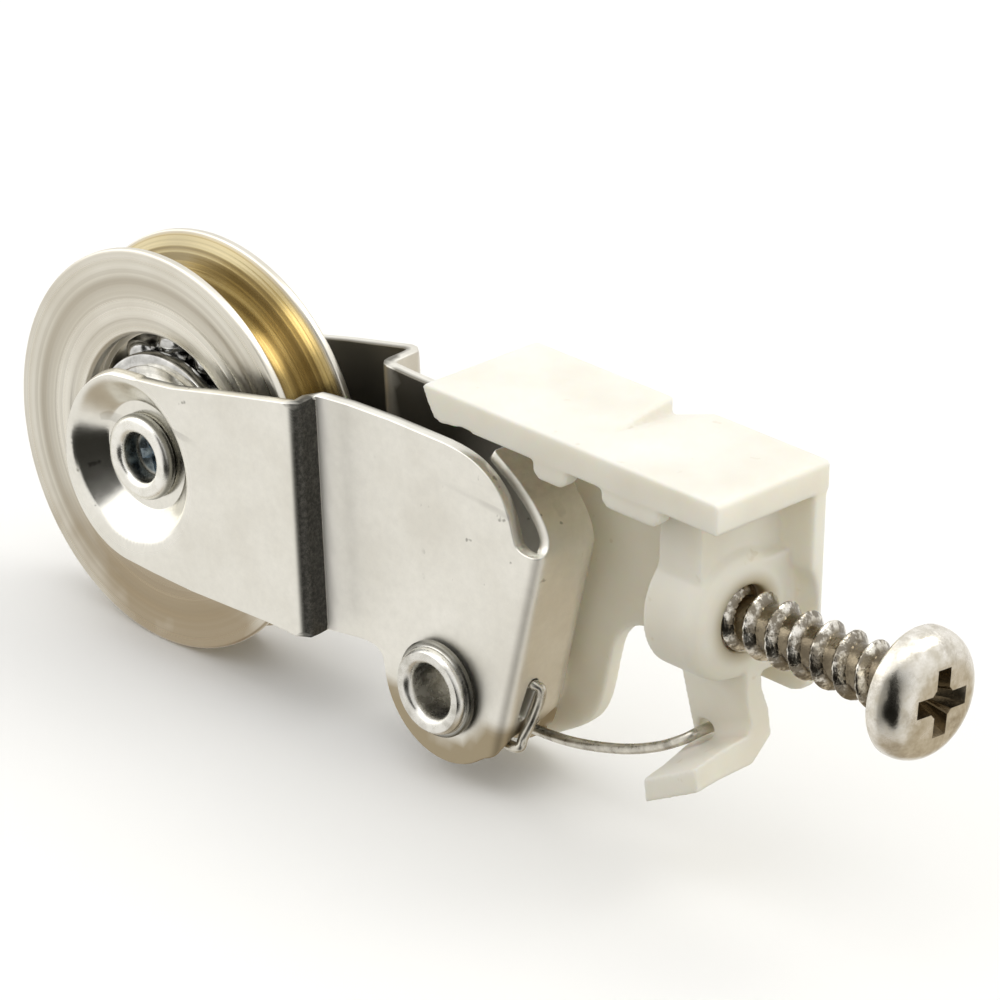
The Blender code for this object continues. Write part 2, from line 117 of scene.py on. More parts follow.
# Screw and spring
SCREW_TIP_X = 54.0
SCREW_HEAD_X = 73.0
SCREW_LENGTH = SCREW_HEAD_X - SCREW_TIP_X
HEAD_RADIUS = 4.84
HEAD_HEIGHT = 2.88
HEAD_SIDE = 0.6                   # height of the head where its dome starts
HEAD_FLAT = 0.4                   # flat middle of the dome, as a part of its radius
RECESS_TURNS = (-4.0, 86.0)       # degrees of the cross recess's slots
THREAD_MAJOR = 2.4
THREAD_MINOR = 1.72
THREAD_PITCH = 2.1
THREAD_START = 0.75
SHANK_RADIUS = 1.9
SHANK = 1.2                       # length under the head where the thread runs out
WIRE_RADIUS = 0.4
COIL_RADIUS = 3.4
COIL_TURNS = 2.75
COIL_Y = (-2.4, 0.9)


# ---------------------------------------------------------------- mesh helpers

def place(point):
    return (Vector(point) - SEAT) * MM


def link(item):
    bpy.context.scene.collection.objects.link(item)
    return item


def shade(mesh, degrees):
    """Smooth shading, with sharp edges above an angle."""
    mesh.shade_smooth()
    mesh.set_sharp_from_angle(angle=math.radians(degrees))


def mesh_object(name, points, faces, smooth=None):
    """A mesh object from points in millimetres from the axle."""
    mesh = bpy.data.meshes.new(name)
    mesh.from_pydata([place(p) for p in points], [], faces)
    tool = bmesh.new()
    tool.from_mesh(mesh)
    bmesh.ops.remove_doubles(tool, verts=tool.verts, dist=0.0000005)
    bmesh.ops.recalc_face_normals(tool, faces=tool.faces)
    tool.to_mesh(mesh)
    tool.free()
    if smooth:
        shade(mesh, smooth)
    return link(bpy.data.objects.new(name, mesh))


def apply_modifiers(item):
    graph = bpy.context.evaluated_depsgraph_get()
    mesh = bpy.data.meshes.new_from_object(item.evaluated_get(graph))
    item.modifiers.clear()
    old = item.data
    item.data = mesh
    bpy.data.meshes.remove(old)


def combine(item, name, shape, operation="DIFFERENCE"):
    """Boolean with a helper that is thrown away afterwards."""
    tool = mesh_object(name, *shape)
    modifier = item.modifiers.new(name, "BOOLEAN")
    modifier.operation = operation
    modifier.solver = "EXACT"
    modifier.object = tool
    apply_modifiers(item)
    bpy.data.objects.remove(tool, do_unlink=True)


def band(low, high):
    """Quads between two rows of point numbers, each closed to a ring."""
    return zip(low, low[1:] + low[:1], high[1:] + high[:1], high)


def loft(rings):
    """Closed body through rings of equal length, with flat ends."""
    count = len(rings[0])
    rows = [list(range(k * count, (k + 1) * count)) for k in range(len(rings))]
    faces = [quad for low, high in zip(rows, rows[1:]) for quad in band(low, high)]
    return [p for ring in rings for p in ring], faces + [rows[0][::-1], rows[-1]]


def circle(radius, count, phase=0.0):
    """Points round the origin, the first one phase steps on from zero degrees."""
    angles = [2.0 * math.pi * (i + phase) / count for i in range(count)]
    return [(radius * math.cos(angle), radius * math.sin(angle)) for angle in angles]


def slot(reach, half, degrees):
    """Corners of a slot turned about its middle; reach and half are half its length and width."""
    c, s = math.cos(math.radians(degrees)), math.sin(math.radians(degrees))
    corners = ((-reach, -half), (reach, -half), (reach, half), (-reach, half))
    return [(u * c - v * s, u * s + v * c) for u, v in corners]


def prism_y(outline, y0, y1):
    return loft([[(x, y, z) for x, z in outline] for y in (y0, y1)])


def box(x, y, z):
    return prism_y([(x[0], z[0]), (x[1], z[0]), (x[1], z[1]), (x[0], z[1])], *y)


def cylinder_x(radius, start, end):
    """Round bar along the screw's axis."""
    return loft([[(x, u, SCREW_Z + v) for u, v in circle(radius, 96, 0.5)] for x in (start, end)])


def cylinder_y(radius, centre, start, end, segments=96):
    outline = [(centre[0] + u, centre[1] + v) for u, v in circle(radius, segments, 0.5)]
    return prism_y(outline, start, end)


def turn(profile, centre, segments):
    """Turn a closed profile of (radius, y) about the Y axis through centre."""
    points, rows, faces = [], [], []
    for radius, along in profile:
        ring = circle(radius, segments if radius > 1e-6 else 1)
        rows.append(range(len(points), len(points) + len(ring)))
        points += [(centre[0] + u, along, centre[1] + v) for u, v in ring]
    for low, high in zip(rows, rows[1:] + rows[:1]):
        for i in range(segments):
            j = (i + 1) % segments
            corners = (low[i % len(low)], low[j % len(low)], high[j % len(high)], high[i % len(high)])
            face = tuple(dict.fromkeys(corners))
            if len(face) > 2:
                faces.append(face)
    return points, faces


def arc(x, z, radius, start, end, steps):
    angles = [math.radians(start + (end - start) * i / steps) for i in range(steps + 1)]
    return [(x + radius * math.cos(angle), z + radius * math.sin(angle)) for angle in angles]


def curve_through(points, steps):
    """Catmull-Rom curve through points of any dimension."""
    out = []
    padded = [points[0], *points, points[-1]]
    for p0, p1, p2, p3 in zip(padded, padded[1:], padded[2:], padded[3:]):
        for s in range(steps):
            t = s / steps
            out.append(tuple(
                0.5 * (2 * b + (c - a) * t + (2 * a - 5 * b + 4 * c - d) * t * t
                       + (3 * b - a - 3 * c + d) * t ** 3)
                for a, b, c, d in zip(p0, p1, p2, p3)))
    out.append(tuple(points[-1]))
    return out


def round_corners(outline, radius, steps=4):
    """Round each corner of a closed outline of (u, v) points."""
    out = []
    for i, corner in enumerate(outline):
        p = Vector(corner)
        a = Vector(outline[i - 1]) - p
        b = Vector(outline[(i + 1) % len(outline)]) - p
        cut = min(radius, a.length * 0.45, b.length * 0.45)
        if a.angle(b) > math.radians(172.0) or cut < 0.02:
            out.append(tuple(p))
            continue
        start, end = p + a.normalized() * cut, p + b.normalized() * cut
        for s in range(steps + 1):
            t = s / steps
            out.append(tuple(start * (1 - t) ** 2 + p * 2 * t * (1 - t) + end * t * t))
    return out


def ribbon(path, widths):
    """Outline of a strip along a path, of a width for each of its points."""
    left, right = [], []
    for i, (u, v) in enumerate(path):
        before = path[max(i - 1, 0)]
        after = path[min(i + 1, len(path) - 1)]
        du, dv = after[0] - before[0], after[1] - before[1]
        half = widths[i] / 2.0 / math.hypot(du, dv)
        left.append((u - dv * half, v + du * half))
        right.append((u + dv * half, v - du * half))
    return left + right[::-1]


def rise(value, start, end):
    """0 up to start and 1 from end on, smoothly; start may be the greater of the two."""
    t = min(max((value - start) / (end - start), 0.0), 1.0)
    return t * t * (3.0 - 2.0 * t)


# ---------------------------------------------------------------- folded channel

NEAR_END = math.pi / 2 * NEAR_BEND                                  # u where the web starts
WEB_END = NEAR_END + (FAR_Y - FAR_BEND) - (NEAR_Y + NEAR_BEND)      # u where the far bend starts
FAR_END = WEB_END + math.pi / 2 * FAR_BEND


def between(table, step):
    """The pair at a fractional row of a table."""
    low = min(int(step), len(table) - 2)
    part = step - low
    return [a * (1 - part) + b * part for a, b in zip(table[low], table[low + 1])]


def tongue_curve():
    """Offsets in x and z at every TONGUE_STEP along the tongue."""
    out = [(0.0, 0.0)]
    x = z = 0.0
    for i in range(140):
        travel = (i + 0.5) * TONGUE_STEP
        lean = math.radians(12.4 - 69.0 * (1.0 - math.exp(-travel / 2.2)))
        x += TONGUE_STEP * math.sin(lean)
        z += TONGUE_STEP * math.cos(lean)
        out.append((x, z))
    return out


def jog_path(shape, drop):
    """Table of (x, part of the drop) for the sheet's middle through a double bend, and half its width."""
    radius, angle = shape[2], math.radians(shape[3])
    straight = (drop - 2.0 * radius * (1.0 - math.cos(angle))) / math.sin(angle)
    total = 2.0 * radius * angle + straight
    x = y = 0.0
    out = [(0.0, 0.0)]
    for i in range(JOG_STEPS):
        at = (i + 0.5) * total / JOG_STEPS
        heading = min(at / radius, angle, (total - at) / radius)
        x += total / JOG_STEPS * math.cos(heading)
        y += total / JOG_STEPS * math.sin(heading)
        out.append((x, y))
    return [(px - x / 2.0, py / y) for px, py in out], x / 2.0


def beside_jog(shape, x, z):
    """How far a place lies from the leaning middle of a jog, towards the web."""
    return x - shape[0] - shape[1] * z


def jog(x, z, wide, narrow, shape, path, half):
    """x and y of the sheet's middle for a place x along the plate."""
    off = beside_jog(shape, x, z)
    if abs(off) >= half:
        return x, narrow if off > 0.0 else wide
    dx, drop = between(path, (off + half) / (2.0 * half) * JOG_STEPS)
    return x - off + dx, wide + (narrow - wide) * drop


def dish_curve():
    """Radii and depths of the dish, from its slope."""
    radii, slopes = zip(*DISH_SLOPE)
    steps = np.arange(0.0, 8.0, DISH_STEP)
    slope = np.interp(steps, radii, slopes)
    return steps, (slope[::-1].cumsum() * DISH_STEP)[::-1]


TONGUE = tongue_curve()
NEAR_PATH, NEAR_HALF = jog_path(NEAR_JOG, WIDE_Y + NEAR_Y)
FAR_PATH, FAR_HALF = jog_path(FAR_JOG, WIDE_Y - FAR_Y)
NEAR_SIDE = (-WIDE_Y, NEAR_Y, NEAR_JOG, NEAR_PATH, NEAR_HALF)
FAR_SIDE = (WIDE_Y, FAR_Y, FAR_JOG, FAR_PATH, FAR_HALF)
DISH_CURVE = dish_curve()


def dish(x, z):
    return float(np.interp(math.hypot(x, z), *DISH_CURVE))


def folded(u, z):
    """Middle of the sheet before the tongue is curled: u runs round the fold."""
    xw = WEB_X + WEB_LEAN * z
    if u <= 0.0:
        x, y = jog(xw - NEAR_BEND + u, z, *NEAR_SIDE)
        return Vector((x, y + dish(x, z), z))
    if u < NEAR_END:
        angle = u / NEAR_BEND
        return Vector((xw - NEAR_BEND + NEAR_BEND * math.sin(angle),
                       NEAR_Y + NEAR_BEND - NEAR_BEND * math.cos(angle), z))
    if u <= WEB_END:
        return Vector((xw, NEAR_Y + NEAR_BEND + u - NEAR_END, z))
    if u < FAR_END:
        angle = (u - WEB_END) / FAR_BEND
        return Vector((xw - FAR_BEND + FAR_BEND * math.cos(angle),
                       FAR_Y - FAR_BEND + FAR_BEND * math.sin(angle), z))
    x, y = jog(xw - FAR_BEND - (u - FAR_END), z, *FAR_SIDE)
    return Vector((x, y - dish(x, z), z))


def sheet_point(u, w):
    """Middle of the sheet: u runs round the fold, w runs up it and along the curled tongue."""
    point = folded(u, w)
    if w <= TONGUE_FOOT or u <= 0.0 or u >= FAR_END:
        return point
    weight = rise(u, 0.0, NEAR_END) * rise(u, FAR_END, FAR_END - 1.2)
    flat = Vector((WEB_X + WEB_LEAN * TONGUE_FOOT, NEAR_Y + NEAR_BEND + u - NEAR_END, TONGUE_FOOT))
    foot = folded(u, TONGUE_FOOT)
    dx, dz = between(TONGUE, (w - TONGUE_FOOT) / TONGUE_STEP)
    curled = foot + (flat - foot) * rise(w, TONGUE_FOOT, TONGUE_FOOT + 1.5) + Vector((dx, 0.0, dz))
    return point + (curled - point) * weight


def sheet_normal(u, w):
    step = 0.012
    du = sheet_point(u + step, w) - sheet_point(u - step, w)
    dw = sheet_point(u, w + step) - sheet_point(u, w - step)
    return du.cross(dw).normalized()


def eased_normal(point, normal):
    """The near plate's outer normal, eased over where the sheet runs out of its jog."""
    beside = beside_jog(NEAR_JOG, point.x, point.z) - NEAR_HALF
    on_plate = normal.y <= -0.35 and NEAR_Y - 0.4 <= point.y <= NEAR_Y + 0.1
    if not on_plate or not -0.5 < beside < RUN_OUT:
        return normal
    lean = max(math.atan2(normal.x, -normal.y), RUN_OUT_LEAN * (1.0 - max(beside, 0.0) / RUN_OUT))
    return Vector((math.sin(lean), -math.cos(lean), 0.0))


def near_uw(x, z):
    """Unfolded place of a side-view point on the near plate or its bend."""
    reach = x - (WEB_X + WEB_LEAN * z - NEAR_BEND)
    if reach > 0.0:
        reach = NEAR_BEND * math.asin(min(reach / NEAR_BEND, 1.0))
    return reach, z


def far_uw(x, z):
    reach = (WEB_X + WEB_LEAN * z - FAR_BEND) - x
    if reach < 0.0:
        reach = FAR_BEND * -math.asin(min(-reach / FAR_BEND, 1.0))
    return FAR_END + reach, z


PLATES = ((near_uw, NEAR_JOG, NEAR_HALF), (far_uw, FAR_JOG, FAR_HALF))


def plate_side(rise):
    """Side view of a plate from its foot at the web, round the axle end, to its shoulder.

    The far plate's top edge stands higher by rise.
    """
    low = arc(*LUG, LUG_RADIUS, -52.0, -172.0, 44)
    low += curve_through([(25.55, -8.15), (25.0, -7.6), (24.2, -7.4), (22.9, -7.45)], 5)[1:]
    low += [(21.0, -7.75), (19.4, -8.0), (17.5, -7.95), (15.5, -7.95), (7.3, -8.3), (3.0, -8.25)]
    end = arc(0.55, -0.45, 7.7, 265.0, 110.0, 60)
    top = [(5.0, 7.75 + rise * 0.9), (11.0, 9.15 + rise), (17.2, 10.5 + rise), (19.0, 10.75 + rise),
           (21.5, 11.0 + rise * 0.6), (26.0, 11.2 + rise * 0.3), (31.0, 11.2)]
    top += curve_through([(31.5, 11.2), (33.2, 11.05), (34.8, 10.65), (36.3, 9.85), (37.5, 8.7),
                          (38.3, 7.2), (38.75, 5.9)], 5)
    return low + end + top


def spaced(outline, gap):
    """The closed outline again with points no further apart than gap."""
    out = []
    for i, p in enumerate(outline):
        q = outline[(i + 1) % len(outline)]
        steps = max(1, round(math.dist(p, q) / gap))
        out += [(p[0] + (q[0] - p[0]) * s / steps, p[1] + (q[1] - p[1]) * s / steps)
                for s in range(steps)]
    return out


def inset(loop, distance):
    """Move a closed loop sideways, to its left."""
    points = np.array(loop)
    along = np.roll(points, -1, 0) - np.roll(points, 1, 0)
    along /= np.linalg.norm(along, axis=1)[:, None]
    return points + np.stack([-along[:, 1], along[:, 0]], 1) * distance


def wound(loop, way):
    """The closed loop run counterclockwise if way is 1, and clockwise if it is -1."""
    area = sum(a[0] * b[1] - b[0] * a[1] for a, b in zip(loop, loop[1:] + loop[:1]))
    return loop if area * way > 0 else loop[::-1]


def within(points, loops):
    """Even-odd test of many points against the outline and its holes."""
    hit = np.zeros(len(points), bool)
    for loop in loops:
        for (ax, ay), (bx, by) in zip(loop, np.roll(loop, -1, 0)):
            if ay != by:
                crosses = (ay > points[:, 1]) != (by > points[:, 1])
                hit ^= crosses & (points[:, 0] < (bx - ax) * (points[:, 1] - ay) / (by - ay) + ax)
    return hit


def sheet_loops():
    """Outline and holes of the unfolded sheet, with the sheet to the left of each."""
    near = [near_uw(x, z) for x, z in plate_side(0.0)]
    far = [far_uw(x, z) for x, z in plate_side(FAR_RISE)][::-1]
    slot_near = curve_through([near[-1], (-1.25, 5.4), (-0.5, 5.14), (0.3, 5.16), (0.85, 5.5), (1.14, 6.1),
                               (1.22, 7.0)], 4)[1:]
    tongue = [(1.24, 9.0), (1.2, 11.0), (1.0, 13.6)]
    tongue += [(WEB_END + u, w) for u, w in ((0.8, 13.6), (0.8, 9.0), (0.8, 6.5), (0.85, 5.4), (1.05, 4.9),
                                             (1.5, 4.65), (2.1, 4.65))]
    tongue += [(FAR_END - 0.1, 4.9), (FAR_END + 0.45, 5.2)]
    foot = [(FAR_END - u, w) for u, w in ((0.4, -12.5), (1.0, -11.6), (1.4, -10.4), (1.75, -9.7),
                                          (2.2, -9.5))]
    foot += [(NEAR_END + 2.4, -10.5), (NEAR_END + 0.5, -10.6), (NEAR_END + 0.1, -10.75), (0.7, -11.3),
             (0.4, -12.2)]
    loops = [wound(spaced(round_corners(near + slot_near + tongue + far + foot, 0.35), 0.28), 1)]
    for to_uw, _, _ in PLATES:
        for centre, radius in (((0.0, 0.0), 2.75), (PIVOT, 2.85)):
            loops.append(wound([to_uw(x, z) for x, z in arc(*centre, radius, 0.0, 360.0, 64)[:-1]], -1))
    hook_slot = arc(NEAR_END + 1.3, -6.35, 0.52, -10.0, 170.0, 10)
    loops.append(wound(hook_slot + arc(NEAR_END + 0.85, -8.9, 0.40, 170.0, 350.0, 10), -1))
    return loops


def sheet_field(flat, edge_points):
    """Points inside the sheet: an even field, finer over the web, the jogs and the dishes."""
    (low_u, low_w), (high_u, high_w) = edge_points.min(0), edge_points.max(0)
    field = []
    for i in range(int((high_u - low_u) / COARSE)):
        for j in range(int((high_w - low_w) / COARSE)):
            u = low_u + COARSE * (i + 0.5 * (j % 2))
            if not -0.4 < u < FAR_END + 0.4:
                field.append((u, low_w + COARSE * j))
    for i in range(int((FAR_END + 0.8) / 0.2) + 1):
        for j in range(int((high_w - low_w) / 0.4)):
            field.append((-0.4 + 0.2 * i, low_w + 0.4 * j))
    field = np.array(field)
    keep = np.ones(len(field), bool)
    special = []
    for to_uw, shape, half in PLATES:
        across = [half * i / 20.0 for i in range(-20, 21)]
        across += [side * (half + gap) for side in (-1, 1) for gap in (0.05, 0.12, 0.22, 0.4)]
        heights = [-9.5 + 0.25 * j for j in range(88)]
        special += [to_uw(shape[0] + shape[1] * z + off, z) for off in across for z in heights]
        for i in range(27):
            special += [to_uw(x, z) for x, z in circle(3.1 + 0.17 * i, 110, 0.5 * (i % 2))]

        web = WEB_X + WEB_LEAN * field[:, 1]
        side_x = web - NEAR_BEND + field[:, 0]
        on_plate = field[:, 0] < 0
        if to_uw is far_uw:
            side_x = web - FAR_BEND + FAR_END - field[:, 0]
            on_plate = field[:, 0] > FAR_END
        band = abs(beside_jog(shape, side_x, field[:, 1])) < half + 0.6
        ring = np.hypot(side_x, field[:, 1]) < 7.6
        keep &= ~((band | ring) & on_plate)
    field = np.concatenate([field[keep], np.array(special)])
    field = field[within(field, flat)]
    clear = np.ones(len(field), bool)
    for start in range(0, len(edge_points), 200):
        part = edge_points[start:start + 200]
        gap = np.hypot(field[:, None, 0] - part[None, :, 0], field[:, None, 1] - part[None, :, 1])
        clear &= gap.min(1) > 0.17
    return field[clear]


def sheet_triangles(plane, rings, flat):
    """Triangles over the unfolded sheet, from a sheared plane where the leaning jogs run straight up."""
    near_at, far_at = near_uw(NEAR_JOG[0], 0.0)[0], far_uw(FAR_JOG[0], 0.0)[0]
    near_shear, far_shear = WEB_LEAN - NEAR_JOG[1], FAR_JOG[1] - WEB_LEAN
    shear = near_shear + (far_shear - near_shear) * (plane[:, 0] - near_at) / (far_at - near_at)
    points = [Vector((p[0] + k * p[1], p[1])) for p, k in zip(plane, shear)]
    edges = [edge for ring in rings for edge in zip(ring, ring[1:] + ring[:1])]
    found = geometry.delaunay_2d_cdt(points, edges, [], 1, 1e-6)
    if len(found[0]) != len(points):
        raise ValueError("the sheet's outline crosses itself")
    centres = np.array([plane[list(face)].mean(0) for face in found[2]])
    return [face for face, good in zip(found[2], within(centres, flat)) if good]


def build_sheet():
    loops = sheet_loops()
    flat = [inset(loop, EDGE) for loop in loops]
    edge_points = np.concatenate(flat)
    plane = np.concatenate([edge_points, sheet_field(flat, edge_points)])
    ends = np.cumsum([len(loop) for loop in loops])
    rings = [list(range(end - len(loop), end)) for loop, end in zip(loops, ends)]

    verts, faces, normals = [], [], {}
    tops, bottoms = [], []
    for u, w in plane:
        middle, normal = sheet_point(u, w), sheet_normal(u, w)
        for side, row in ((1.0, tops), (-1.0, bottoms)):
            row.append(len(verts))
            normals[len(verts)] = eased_normal(middle, normal * side)
            verts.append(middle + normal * side * SHEET / 2)
    for face in sheet_triangles(plane, rings, flat):
        faces.append(tuple(tops[v] for v in face))
        faces.append(tuple(bottoms[v] for v in reversed(face)))

    angles = [math.pi / 2 * s / EDGE_STEPS for s in range(1 - EDGE_STEPS, EDGE_STEPS)]
    for loop, ring in zip(loops, rings):
        levels = [[bottoms[v] for v in ring]]
        for angle in angles:
            lift = math.copysign(SHEET / 2 - EDGE + EDGE * abs(math.sin(angle)), angle) if angle else 0.0
            levels.append(list(range(len(verts), len(verts) + len(ring))))
            verts += [sheet_point(u, w) + sheet_normal(u, w) * lift
                      for u, w in inset(loop, EDGE * (1.0 - math.cos(angle)))]
        levels.append([tops[v] for v in ring])
        for low, high in zip(levels, levels[1:]):
            faces += band(low, high)
    item = mesh_object("frame_sheet", verts, faces, smooth=60.0)
    if len(item.data.vertices) != len(verts):
        raise ValueError("points of the sheet fell together")
    item.data.normals_split_custom_set_from_vertices([normals.get(i, (0, 0, 0)) for i in range(len(verts))])
    return item


# ---------------------------------------------------------------- wheel and bearing

def wheel_profile():
    """Closed (radius, y) profile: turned steps on both faces and a stepped groove."""
    # The first table's y is measured from the wheel's side, the second one's from its middle.
    face = [(9.05, -0.75), (9.3, -0.45), (9.75, -0.32), (10.3, -0.26), (10.42, -0.19), (11.2, -0.16),
            (11.32, -0.2), (11.9, -0.19), (12.02, -0.14), (12.7, -0.1), (12.82, -0.13), (13.4, -0.1),
            (13.52, -0.05), (15.45, -0.01), (15.68, -0.04), (15.8, -0.13), (WHEEL_RADIUS, -0.28),
            (WHEEL_RADIUS, -0.62), (WHEEL_RADIUS - 0.08, -0.72), (15.5, -0.86)]
    groove = [(14.6, 2.09), (13.8, 1.79), (13.0, 1.51), (12.3, 1.26), (11.8, 1.04), (11.5, 0.78),
              (11.33, 0.42)]
    far = [(9.32, 1.32), (9.32, 1.9), (9.05, 2.0)] + [(r, WHEEL_HALF + y) for r, y in face] + groove
    race = [(BALL_ORBIT + math.sqrt(RACE_RADIUS ** 2 - y * y) + 0.05, y)
            for y in (-1.3 + 2.6 * i / 12 for i in range(13))]
    return race + far + [(11.3, 0.0)] + [(r, -y) for r, y in reversed(far)]


def build_wheel():
    item = mesh_object("turned_wheel", *turn(wheel_profile(), (0.0, 0.0), 240), smooth=28.0)
    bevel = item.modifiers.new("edges", "BEVEL")
    bevel.width = 0.05 * MM
    bevel.segments = 2
    bevel.limit_method = "ANGLE"
    bevel.angle_limit = math.radians(20.0)
    bevel.use_clamp_overlap = True
    bevel.harden_normals = False
    apply_modifiers(item)
    return item


def build_cone(name, side):
    groove = [(BALL_ORBIT - math.sqrt(RACE_RADIUS ** 2 - y * y), y)
              for y in (0.16 + 1.4 * i / 11 for i in range(12))]
    profile = [(2.72, 0.16)] + groove
    profile += [(7.2, 1.75), (7.5, 1.95), (7.6, 2.2), (7.6, 2.75), (7.5, 2.95), (7.2, 3.1), (6.7, 3.14),
                (6.6, 3.02), (6.0, 3.0), (5.6, 3.1), (4.9, 3.4), (4.5, 3.6), (2.72, 3.6)]
    return mesh_object(name, *turn([(r, side * y) for r, y in profile], (0.0, 0.0), 160), smooth=30.0)


def build_ball(index):
    arcs = [(BALL_RADIUS * math.sin(math.pi * k / 20), -BALL_RADIUS * math.cos(math.pi * k / 20))
            for k in range(21)]
    centre = circle(BALL_ORBIT, BALL_COUNT, BALL_PHASE)[index]
    return mesh_object("bearing_ball_%02d" % (index + 1), *turn(arcs, centre, 36), smooth=180.0)


def build_axle():
    """Semi-tubular rivet: rolled rim over a blind bore in front, domed head behind."""
    rim = [(2.42, -4.62), (3.2, -4.62), (3.38, -4.78), (3.4, -5.1), (3.3, -5.4), (3.05, -5.62),
           (2.7, -5.72), (2.35, -5.66), (2.08, -5.48), (1.93, -5.2), (1.84, -4.7), (1.78, -4.1),
           (1.6, -3.9), (0.0, -3.88)]
    head = [(0.0, 5.5), (1.2, 5.48), (2.2, 5.38), (2.9, 5.2), (3.3, 4.98), (3.42, 4.8), (3.38, 4.62),
            (2.42, 4.62)]
    profile = curve_through(rim[::-1], 3) + head[::-1]
    item = mesh_object("rolled_axle_rivet", *turn(profile, (0.0, 0.0), 96), smooth=35.0)
    for degrees in (20.0, 110.0):
        levels = ((-3.2, 1.0, 0.22), (-4.3, 1.72, 0.5))
        stake = [[(u, y, v) for u, v in slot(reach, half, degrees)] for y, reach, half in levels]
        combine(item, "stake", loft(stake))
    shade(item.data, 35.0)
    return item


def build_pivot():
    """Tubular rivet, rolled over at both ends; the near rim's y is measured from the rivet's foot."""
    rim = [(2.06, -0.6), (2.2, -1.0), (2.45, -1.24), (2.8, -1.33), (3.1, -1.27), (3.3, -1.06), (3.37, -0.8),
           (3.35, -0.62), (3.42, -0.55), (3.62, -0.53), (3.73, -0.42), (3.74, -0.12), (3.66, 0.0), (2.6, 0.0)]
    profile = [(2.06, 0.0)] + [(r, y - 4.45) for r, y in rim]
    profile += [(2.6, 6.1), (3.5, 6.1), (3.66, 6.18), (3.68, 6.4), (3.55, 6.58), (3.2, 6.67), (2.5, 6.64),
                (2.2, 6.5), (2.06, 6.2)]
    return mesh_object("tubular_pivot_rivet", *turn(profile, PIVOT, 120), smooth=32.0)


# ---------------------------------------------------------------- housing

def hook_ring(x, foot_y, corner, foot):
    """Section of the tail hook at x: down, round a corner and across to its foot."""
    y, z = corner
    path = [(1.15, 1.0), (1.25, -1.2), (y - 0.35, z + 2.2), (y - 0.15, z + 0.6), (y - 1.2, z - 0.35),
            (foot_y + 2.2, foot + 0.35), (foot_y, foot)]
    return [(x, v, w) for v, w in ribbon(path, (1.66, 1.66, 1.95, 2.45, 2.55, 2.25, 2.05))]


def rounded_boss():
    """The screw boss, with a well rounded front rim."""
    shape = ((BOSS_X[0], 0.0), (56.1, 0.0), (56.7, 0.12), (57.2, 0.42), (57.55, 0.9), (BOSS_X[1], 1.6))
    return loft([[(x, u, SCREW_Z + v) for u, v in circle(BOSS_RADIUS - less, 96)] for x, less in shape])


def build_housing():
    low = TOP_Z - PLATE
    x0, x1 = HOUSING_X
    side = [(x0 - 0.9, TOP_Z - 0.25), (x0 - 0.4, low + 1.1), (x0 + 0.3, low + 0.05), (x0 + 0.9, low - 0.16),
            (x0 + 2.1, low - 0.1), (x0 + 3.2, low + 0.18), (x0 + 4.4, low),
            (x1, low), (x1, TOP_Z - 0.25), (x1 - 0.25, TOP_Z), (x0 - 0.65, TOP_Z)]
    wall = [(x1 - 0.05, TOP_Z - 0.6), (x0 + 0.7, TOP_Z - 0.6), (x0 + 0.4, 4.5), (28.4, -4.2)]
    wall += arc(*PIVOT, 6.55, 155, 305, 48)
    wall += curve_through([(37.6, -12.4), (38.9, -11.2), (39.7, -9.8), (40.2, -8.0), (40.6, -6.0),
                           (41.1, -4.1), (42.0, -2.9), (43.2, -2.15), (44.6, -1.85)], 5)
    wall += [(58.3, -1.85), (59.2, -1.5), (x1 - 0.05, -0.7)]
    added = [
        ("side_wall", prism_y(wall, WALL_Y[0], WALL_Y[1] - 0.04)),
        ("pivot_lug", cylinder_y(4.4, PIVOT, 3.3, WALL_Y[0] + 0.5)),
        ("screw_boss", rounded_boss()),
        ("boss_web", box((52.5, 56.6), (-3.8, WALL_Y[0] + 0.3), (SCREW_Z, low + 0.6))),
        ("boss_block", box((52.55, 57.6), (0.4, WALL_Y[0] + 0.35), (0.1, 9.0))),
    ]
    for name, start, end in (("front_rib", 41.9, 45.2), ("rear_rib", 48.6, 54.2)):
        rib = [(start, low + 0.5), (start, low - 0.9), (start + 0.6, low - 1.4),
               (end - 0.6, low - 1.4), (end, low - 0.9), (end, low + 0.5)]
        added.append((name, prism_y(rib, -HOUSING_HALF + 0.06, -4.4)))
    added.append(("tail_hook", loft([hook_ring(51.2, -3.0, (3.2, -8.5), -10.0),
                                     hook_ring(57.6, -4.6, (2.3, -5.4), -6.3)])))
    ramp = [[(x, y, TOP_Z + z) for x, z in ((start, foot), (start + length, 0.5), (start, 1.5))]
            for y, start, length, foot in ((-1.9, 46.1, 4.8, -0.15), (6.4, 44.6, 6.0, -1.5))]
    cut = [
        ("screw_bore", cylinder_x(BORE_RADIUS, 45.0, 62.0)),
        ("head_relief", cylinder_x(5.25, BOSS_X[1] + 0.05, 62.0)),
        ("pivot_bore", cylinder_y(2.9, PIVOT, 1.0, 9.0)),
        ("wire_hole", cylinder_y(0.82, SPRING_HOLE, -0.6, 8.0, 32)),
        ("top_ramp", loft(ramp)),
    ]
    housing = mesh_object("moulded_housing", *prism_y(side, -HOUSING_HALF, HOUSING_HALF))
    for operation, parts in (("UNION", added), ("DIFFERENCE", cut)):
        for name, shape in parts:
            combine(housing, name, shape, operation)
    remesh = housing.modifiers.new("skin", "REMESH")
    remesh.mode = "VOXEL"
    remesh.voxel_size = HOUSING_VOXEL * MM
    remesh.use_smooth_shade = True
    relax = housing.modifiers.new("soft_edges", "SMOOTH")
    relax.factor = 0.5
    relax.iterations = 7
    apply_modifiers(housing)
    return housing


# ---------------------------------------------------------------- screw

